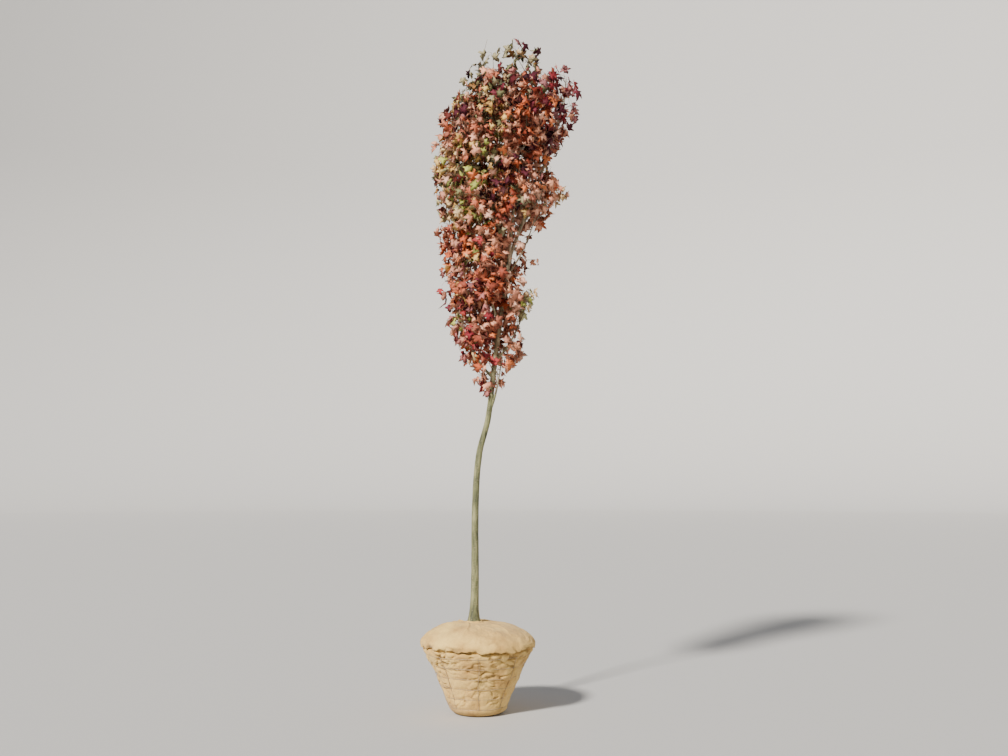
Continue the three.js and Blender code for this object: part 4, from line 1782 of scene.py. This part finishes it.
    def build(self) -> None:
        """Makes the masses' pieces and hands them to the frame."""
        self.grow()
        masses = [limb.mass for limb in self.limbs]
        hand_over(new_object(self.stems.mesh("twigs"), TWIG_BARK.material()), "bark", *masses)
        hand_over(new_object(self.stalks.mesh("leaf_stalks"), STALK.material()), "leaves_rust", *masses)
        for tint, blades in self.blades.items():
            name = "leaves_of_" + tint.name.lower()
            faces = [LeafFinish(f"{name}_{i}", colour).material() for i, colour in enumerate(tint.faces)]
            hand_over(new_object(blades.mesh(name), *faces), tint.slot, *masses)
        LOG.info("%d leaves", sum(len(blades.leaves) for blades in self.blades.values()))


@dataclass
class RootBall:
    """The burlapped ball and the wire basket round it."""

    foot_radius: float = 118
    foot_rounding: float = 48
    waist_radius: float = 192
    crease_radius: float = 362
    crease_height: float = 428
    fullness: float = 1.1
    lip_radius: float = 379
    lip_height: float = 446
    height: float = 585
    seat_radius: float = 84
    trunk_across: float = -30
    # The cloth's gather round the trunk, as [radius, height]
    gather: Rows = (
        *((76, 583.5), (68, 583), (60, 586), (54, 592), (49, 596), (44, 594), (38, 586), (20, 584)),
        (0, 584),
    )
    # Folds of the cloth over the top, as [bearing from the trunk, width, height]
    drapes: Rows = (
        *((3.8, 18, 7), (4.55, 22, 11), (4.95, 14, 6), (5.6, 20, 8), (0.3, 16, 6), (1.2, 14, 8)),
        *((2.1, 18, 8), (2.9, 14, 7), (3.5, 12, 6)),
    )
    drape_seed: int = 31
    # Creases all over the cloth, as [size, depth]
    creases: Rows = ((70, 2.6), (38, 1.7), (20, 0.8))
    foot_steps: int = 20
    rounding_steps: int = 14
    side_steps: int = 70
    dome_steps: int = 64
    spin_steps: int = 440
    lid_tilt: float = 0.018
    ring_levels: tuple[float, ...] = (52, 120, 188, 256, 324, 392)
    ring_start: float = 300
    ring_steps: int = 220
    ring_waver: float = 2.5
    uprights: int = 8
    upright_steps: int = 90
    upright_ends: tuple[float, float] = (3, 6)
    upright_lift: float = 0.9
    upright_waver: float = 0.012
    wire_radius: float = 1.6
    wire_sides: int = 8
    wire_clearance: float = 0.6
    wire_band: float = 3.6
    clip_radius: float = 0.95
    clip_sides: int = 6
    clip_reach: float = 1.75
    clip_lift: float = 0.4
    clip_steps: int = 40
    clip_coils: float = 2.25
    clip_width: float = 9

    def side_radius(self, height: Array) -> Array:
        """The plain side's radius at heights, from the foot's rounding to the crease."""
        share = (height - self.foot_rounding) / (self.crease_height - self.foot_rounding)
        rise = np.clip(share, 0, None) ** self.fullness
        return self.waist_radius + (self.crease_radius - self.waist_radius) * rise

    def profile(self) -> Array:
        """The ball's outline from the middle of its foot to the middle of its top, as [radius, height]."""
        out = np.linspace(0, self.foot_radius, self.foot_steps)
        foot = np.column_stack([out, np.zeros(self.foot_steps)])
        turns = np.linspace(0, math.pi / 2, self.rounding_steps)
        out = self.foot_radius + (self.waist_radius - self.foot_radius) * np.sin(turns)
        rounding = np.column_stack([out, self.foot_rounding * (1 - np.cos(turns))])
        heights = np.linspace(self.foot_rounding, self.crease_height - 8, self.side_steps)
        side = np.column_stack([self.side_radius(heights), heights])
        crease, lip, level = self.crease_radius, self.lip_radius, self.crease_height
        groove = [(crease - 5, level - 3), (crease - 15, level + 2), (crease - 13, level + 6)]
        groove += [(lip - 16, level + 8), (lip - 4, level + 9)]
        turns = np.linspace(0, math.pi / 2, self.dome_steps)
        out = self.seat_radius + (self.lip_radius - self.seat_radius) * np.cos(turns)
        dome = np.column_stack([out, self.lip_height + (self.height - self.lip_height) * np.sin(turns)])
        return np.vstack([foot[:-1], rounding[:-1], side[:-1], groove, dome, self.gather])

    def swell(self, turns: Array, heights: Array) -> Array:
        """The soil's own soft lumps, in millimetres, which the cloth and the wires follow."""
        lumps = fractal(np.column_stack([circle(turns) * 1.5, heights / 170]), 2)
        return 10 * lumps * smooth_step(heights, 10, 110)

    def pillow(self, turns: Array, heights: Array) -> Array:
        """How far the cloth bulges between the wires, in millimetres."""
        levels = np.array([0, *self.ring_levels, self.crease_height + 4])
        cell = np.clip(np.searchsorted(levels, heights) - 1, 0, len(levels) - 2)
        up = (heights - levels[cell]) / (levels[cell + 1] - levels[cell])
        width = TURN / self.uprights
        across = (turns % width) / width
        column = np.floor((turns % TURN) / width)
        size = 0.75 + 0.5 * np.sin(cell * 12.9 + column * 78.2)
        arch = np.sqrt(np.abs(np.sin(np.pi * np.clip(up, 0, 1)))) * np.abs(np.sin(np.pi * across)) ** 0.3
        return 6.0 * size * arch - 1.5

    def dents(self, turns: Array, heights: Array, slant: float, seed: float) -> Array:
        """Short dents that all slant one way.

        Args:
            turns: Bearings round the ball.
            heights: Heights on its side.
            slant: How steeply they climb, as an angle.
            seed: A number that sets them apart.

        Returns:
            A share of the dents' depth, 0 or less.
        """
        from_back = (turns - math.pi / 2) % TURN
        around = from_back * 300
        along = around * math.cos(slant) + heights * math.sin(slant)
        across = heights * math.cos(slant) - around * math.sin(slant)
        creases = valleys(np.column_stack([along / 105, across / 34, np.full(len(turns), seed)]), 0.24)
        patches = fractal(np.column_stack([along / 120, across / 75, np.full(len(turns), seed + 7)]), 2)
        fade = smooth_step(np.minimum(from_back, TURN - from_back), 0.05, 0.35)
        return -creases * smooth_step(patches, -0.05, 0.3) * fade

    def side_wrinkles(self, turns: Array, heights: Array) -> Array:
        """Dents of the side, mostly level, and slanting below the crease, in millimetres."""
        upper = smooth_step(heights, 270, 360)
        depth = 13 * self.dents(turns, heights, 0.08, 1.5)
        depth += 11 * self.dents(turns, heights, -0.45, 4.5) * (0.6 + 0.4 * upper)
        depth += 11 * self.dents(turns, heights, 0.55, 8.5) * (0.55 + 0.45 * upper)
        return depth * smooth_step(heights, 40, 130) + 2

    def dome_folds(self, x: Array, y: Array) -> Array:
        """Drapes that run out from the trunk over the top, in millimetres."""
        bearing = np.arctan2(y, x - self.trunk_across)
        reach = np.hypot(x - self.trunk_across, y)
        folds = np.zeros(len(x))
        draw = Draws(self.drape_seed)
        for turn, width, size in self.drapes:
            wander = 0.12 * np.sin(reach / draw.between(50, 90) + draw.between(0, 6))
            gap = ((bearing - turn - wander + math.pi) % TURN - math.pi) * reach
            end = draw.between(190, 330)
            fade = smooth_step(reach, 45, 90) * (1 - smooth_step(reach, end - 90, end + 60))
            folds += size * np.exp(np.where(gap < 0, gap / width, -gap / (width * 0.35))) * fade
        return folds

    def crumple(self, places: Array) -> Array:
        """Lumps and slight creases all over the cloth, smoother in some parts, in millimetres."""
        rough = smooth_step(fractal(places / 150 + 20, 2), -0.3, 0.35)
        lumps = 5 * fractal(places / 75, 3)
        depths = np.zeros(len(places))
        for size, depth in self.creases:
            depths -= depth * valleys(places / size + size, 0.25)
        return lumps + depths * (0.25 + 0.75 * rough) + 1

    def spine(self) -> Spine:
        """The profile as a line, for its lengths."""
        profile = self.profile()
        return Spine(profile, profile[:, 0])

    def sheet(self) -> tuple[BMesh, Array]:
        """The plain cloth, spun from the profile.

        Returns:
            The sheet, and each vertex's distance along the profile, in millimetres.
        """
        spine = self.spine()
        bm = bmesh.new()
        along = bm.verts.layers.float.new("along")
        row = [bm.verts.new((r * MM, 0, h * MM)) for r, h in spine.points]
        for vertex, length in zip(row, spine.lengths()):
            vertex[along] = length
        for pair in zip(row, row[1:]):
            bm.edges.new(pair)
        spin_round(bm, self.spin_steps)
        return bm, np.array([vertex[along] for vertex in bm.verts])

    def lip_start(self) -> float:
        """The distance along the profile at which the side ends and the lip starts, in millimetres."""
        return self.spine().lengths()[-len(self.gather) - self.dome_steps]

    def outward(self, along: Array) -> tuple[Array, Array]:
        """The parts, away from the axis and up, of the way out of the cloth at distances along it."""
        spine = self.spine()
        lengths = spine.lengths()
        slopes = np.gradient(spine.points, lengths, axis=0)
        away, up = np.interp(along, lengths, slopes[:, 1]), -np.interp(along, lengths, slopes[:, 0])
        size = np.maximum(np.hypot(away, up), 1e-6)
        return away / size, up / size

    def cloth(self) -> Piece:
        """The burlap, one closed sheet spun from the profile and pushed into its wrinkles."""
        bm, along = self.sheet()
        places = places_in(bm)
        x, y, heights = places.T
        turns, radii = np.arctan2(y, x), np.hypot(x, y)
        rounds = circle(turns)
        lip_start = self.lip_start()
        past_lip = along - lip_start
        on_dome = smooth_step(along, lip_start - 4, lip_start + 30)
        on_side = (1 - on_dome) * smooth_step(heights, 12, 55)
        seat = smooth_step(radii, 60, 120)
        groove = hump(past_lip, -14, 9)
        around = fractal(np.column_stack([rounds * 4.2, heights * 0 + 3]), 3)
        wrinkles = on_side * (self.pillow(turns, heights) + self.side_wrinkles(turns, heights))
        wrinkles += on_dome * self.dome_folds(x, y)
        near_foot = smooth_step(heights, 3, 40) * (0.35 + 0.65 * smooth_step(heights, 50, 150))
        near_lip = 1 - 0.5 * hump(past_lip, 10, 45)
        fine = self.crumple(places) * near_foot * near_lip * (0.25 + 0.75 * seat)
        lip = on_dome * hump(past_lip, 8, 26) * (2 + 9 * around)
        wrinkles += fine + lip - groove * np.clip(9 + 34 * around, 1, 26)
        proud = self.swell(turns, heights) * (0.3 + 0.7 * seat) + wrinkles
        away, up = self.outward(along)
        level = away * proud
        over, back = level * rounds[:, 0], level * rounds[:, 1]
        moved = np.column_stack([x + over, y + back, heights + up * proud])
        hang = hump(past_lip, 0, 11) * np.clip(7 - 22 * around, 0, 17)
        moved[:, 2] -= hang + self.lid_tilt * x * smooth_step(heights, 330, 440)
        to_trunk = (1 - smooth_step(radii, 90, 300)) * smooth_step(heights, 400, 540)
        moved[:, 0] += self.trunk_across * to_trunk
        moved[:, 2] = np.where(heights < 1e-6, 0, np.maximum(moved[:, 2], 0))
        put(bm, moved)
        mesh = mesh_of("burlap_wrap", bm)
        # Painted shade in the dents and in the crease under the lip, a little darker all over the side, and
        # soil near the foot
        painted_shade_and_soil = np.clip(-wrinkles / 12, 0, 1) * 0.55 + groove * 0.4 + on_side * 0.08
        painted_shade_and_soil += (1 - smooth_step(heights, 0, 110)) * 0.42
        mesh.attributes.new("crease_shade_and_soil", "FLOAT", "POINT").data.foreach_set("value", painted_shade_and_soil.astype(np.float32))
        self.lay_cloth_map(mesh, along, lip_start)
        return new_object(mesh, BURLAP.material())

    def lay_cloth_map(self, mesh: Mesh, along: Array, lip_start: float) -> None:
        """Gives the cloth its UV map, in metres of cloth: round the side, and flat over the top.

        Args:
            mesh: The cloth's mesh.
            along: Each vertex's distance along the profile, in millimetres.
            lip_start: The distance at which the side ends.
        """
        corners = np.empty(len(mesh.loops), np.int32)
        mesh.loops.foreach_get("vertex_index", corners)
        starts = np.empty(len(mesh.polygons), np.int32)
        totals = np.empty(len(mesh.polygons), np.int32)
        mesh.polygons.foreach_get("loop_start", starts)
        mesh.polygons.foreach_get("loop_total", totals)
        face = np.repeat(np.arange(len(starts)), totals)
        places = np.empty(len(mesh.vertices) * 3)
        mesh.vertices.foreach_get("co", places)
        places = places.reshape(-1, 3)
        turns = np.arctan2(places[:, 1], places[:, 0])[corners]
        first = turns[starts][face]
        turns = first + (turns - first + math.pi) % TURN - math.pi
        around = turns * (self.crease_radius + self.waist_radius) / 2 * MM
        side = np.column_stack([around, along[corners] * MM])
        out = (along.max() - along[corners]) * MM
        flat = np.column_stack([np.cos(turns) * out, np.sin(turns) * out])
        over = (along[corners[starts]] > lip_start)[face]
        plan = np.where(over[:, None], flat, side)
        mesh.uv_layers.new(name="cloth").data.foreach_set("uv", plan.reshape(-1))

    def wire_line(self, turns: Array, heights: Array) -> Array:
        """Points of a wire that lies on the cloth, at bearings and heights."""
        ball = self.side_radius(heights) + self.swell(turns, heights)
        radii = ball + self.wire_clearance + self.wire_band / 2
        return np.column_stack([radii * np.cos(turns), radii * np.sin(turns), heights])

    def ring(self, level: float) -> BMesh:
        """One level ring of wire."""
        bm = bmesh.new()
        bmesh.ops.create_circle(bm, segments=self.wire_sides, radius=self.wire_radius * MM)
        standing = Matrix.Rotation(math.pi / 2, 3, "X")
        bmesh.ops.rotate(bm, verts=bm.verts[:], cent=(0, 0, 0), matrix=standing)
        bmesh.ops.translate(bm, verts=bm.verts[:], vec=(self.ring_start * MM, 0, 0))
        spin_round(bm, self.ring_steps)
        places = places_in(bm)
        turns = np.arctan2(places[:, 1], places[:, 0])
        rounds = circle(turns)
        waver = fractal(np.column_stack([rounds * 2, np.full(len(turns), level / 40)]), 2)
        line = self.wire_line(turns, level + self.ring_waver * waver)
        own_radius = np.hypot(places[:, 0], places[:, 1]) - self.ring_start
        line[:, :2] += rounds * own_radius[:, None]
        line[:, 2] += places[:, 2]
        put(bm, line)
        return bm

    def upright_line(self, index: int, heights: Array) -> Array:
        """Points of an upright wire's line on the cloth, at heights."""
        waver = self.upright_waver * np.sin(heights / 40 + index)
        return self.wire_line(index / self.uprights * TURN + waver, heights)

    def upright(self, index: int) -> BMesh:
        """One upright wire, from the lowest ring to the highest, a little past both."""
        turn = index / self.uprights * TURN
        low, high = self.ring_levels[0] - self.upright_ends[0], self.ring_levels[-1] + self.upright_ends[1]
        heights = np.linspace(low, high, self.upright_steps)
        line = self.upright_line(index, heights)
        line += np.array([math.cos(turn), math.sin(turn), 0]) * self.wire_radius * self.upright_lift
        return rolled_tube(Spine(line, np.full(len(line), self.wire_radius)), self.wire_sides)

    def clip(self, index: int, level: float) -> BMesh:
        """The small coil of wire that ties an upright to a ring."""
        turn = index / self.uprights * TURN
        out = np.array([math.cos(turn), math.sin(turn), 0])
        round_way = np.array([-math.sin(turn), math.cos(turn), 0])
        spot = self.upright_line(index, np.array([level]))[0]
        shares = np.linspace(0, 1, self.clip_steps)
        angles = shares * TURN * self.clip_coils
        reach = self.wire_radius * self.clip_reach
        middle = spot + out * self.wire_radius * self.clip_lift
        line = middle + round_way * ((shares - 0.5) * self.clip_width)[:, None]
        line = line + out * (np.cos(angles) * reach)[:, None]
        line[:, 2] += np.sin(angles) * reach
        return rolled_tube(Spine(line, np.full(len(line), self.clip_radius)), self.clip_sides)

    def basket(self) -> Piece:
        """The basket: rings, uprights and the coils that tie them."""
        wires = [self.ring(level) for level in self.ring_levels]
        wires += [self.upright(index) for index in range(self.uprights)]
        for index in range(self.uprights):
            wires += [self.clip(index, level) for level in self.ring_levels[1:-1]]
        whole = bmesh.new()
        for wire in wires:
            part = mesh_of("wire", wire)
            whole.from_mesh(part)
            bpy.data.meshes.remove(part)
        return new_object(mesh_of("basket_wires", whole), WIRE.material())

    def build(self) -> None:
        """Makes the ball's pieces and hands them to the frame."""
        hand_over(self.cloth(), "burlap", "root_ball")
        hand_over(self.basket(), "basket_wire", "wire_basket")


@dataclass
class Studio:
    """A plain pale floor, soft light and the camera where the photograph was taken from."""

    camera_place: Vector = vector_field(-0.03, -7.32, 1.48)
    camera_aim: Vector = vector_field(0.17, 0, 2.22)
    focal_pixels: float = 1080
    frame_width: int = 1008
    sensor_width: float = 36
    floor_radius: float = 60
    sweep_radius: float = 30
    wall_height: float = 48
    floor_steps: int = 96
    sweep_steps: int = 32
    floor_rings: tuple[float, ...] = (0, 0.25, 0.5, 0.75, 0.95)
    floor_gap: float = 0.001
    sun_from: Vector = vector_field(-0.49, -0.67, 0.56)
    sun_power: float = 7.0
    sun_width: float = 0.12
    sun_colour: Colour = (1.0, 0.955, 0.89)
    sky_power: float = 0.31
    sky_colour: Colour = (0.84, 0.9, 1.0)

    def camera(self) -> None:
        """Sets the scene's camera."""
        data = bpy.data.cameras.new("camera")
        data.sensor_width = self.sensor_width
        data.lens = self.focal_pixels / self.frame_width * self.sensor_width
        camera = bpy.data.objects.new("camera", data)
        camera.location = self.camera_place
        way = self.camera_aim - self.camera_place
        camera.rotation_mode = "QUATERNION"
        camera.rotation_quaternion = way.to_track_quat("-Z", "Y")
        bpy.context.scene.collection.objects.link(camera)
        bpy.context.scene.camera = camera

    def backdrop(self) -> None:
        """Lays a round floor, which sweeps up all round the tree in one curve."""
        bm = bmesh.new()
        foot = bm.verts.new((self.floor_radius, 0, 0))
        centre = (self.floor_radius, 0, self.sweep_radius)
        quarter, back = math.pi / 2, (0, -1, 0)
        bmesh.ops.spin(bm, geom=[foot], cent=centre, axis=back, angle=quarter, steps=self.sweep_steps)
        line = sorted(bm.verts, key=lambda v: v.co.z)
        floor = [bm.verts.new((self.floor_radius * share, 0, 0)) for share in self.floor_rings]
        top = bm.verts.new((self.floor_radius + self.sweep_radius, 0, self.wall_height))
        line = [*floor, *line, top]
        for pair in zip(line, line[1:]):
            if bm.edges.get(pair) is None:
                bm.edges.new(pair)
        bmesh.ops.translate(bm, verts=bm.verts[:], vec=(0, 0, -self.floor_gap))
        spin_round(bm, self.floor_steps, 1e-4)
        if sum(face.normal.z for face in bm.faces) < 0:
            bmesh.ops.reverse_faces(bm, faces=bm.faces[:])
        sweep = new_object(mesh_of("floor", bm), FLOOR.material())
        sweep.visible_shadow = False
        sweep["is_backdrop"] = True

    def sun(self) -> None:
        """Hangs the main light, front left and high, with soft edges to its shadows."""
        data = bpy.data.lights.new("key", "SUN")
        data.energy = self.sun_power
        data.angle = self.sun_width
        data.color = self.sun_colour
        lamp = bpy.data.objects.new("key", data)
        lamp.rotation_mode = "QUATERNION"
        lamp.rotation_quaternion = (-self.sun_from).to_track_quat("-Z", "Y")
        bpy.context.scene.collection.objects.link(lamp)

    def build(self) -> None:
        """Sets up the whole studio."""
        self.camera()
        self.backdrop()
        self.sun()
        world = bpy.data.worlds.new("studio")
        bpy.context.scene.world = world
        world.use_nodes = True
        background = world.node_tree.nodes["Background"]
        background.inputs["Color"].default_value = (*self.sky_colour, 1)
        background.inputs["Strength"].default_value = self.sky_power


def write_sizes() -> None:
    """Lays out the model's box and the visual model's box as JSON text of plain lists of metres, which it
    throws away.
    """
    boxes = {"cad": CAD_BOX, "visual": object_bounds()}
    json.dumps({name: [list(corner) for corner in box] for name, box in boxes.items()})


def main() -> None:
    """Builds the sapling and its studio."""
    logging.basicConfig(level=logging.INFO, format="%(name)s %(message)s")
    trunk, crown = TrunkPlan(), CrownPlan()
    limbs = LimbPlan(trunk, crown).limbs()
    Studio().build()
    RootBall().build()
    Trunk(trunk).build()
    Boughs([limb for limb in limbs if limb.share > 0]).build()
    Foliage(limbs, trunk, crown, GrowingRule()).build()
    write_sizes()


if __name__ == "__main__":
    main()
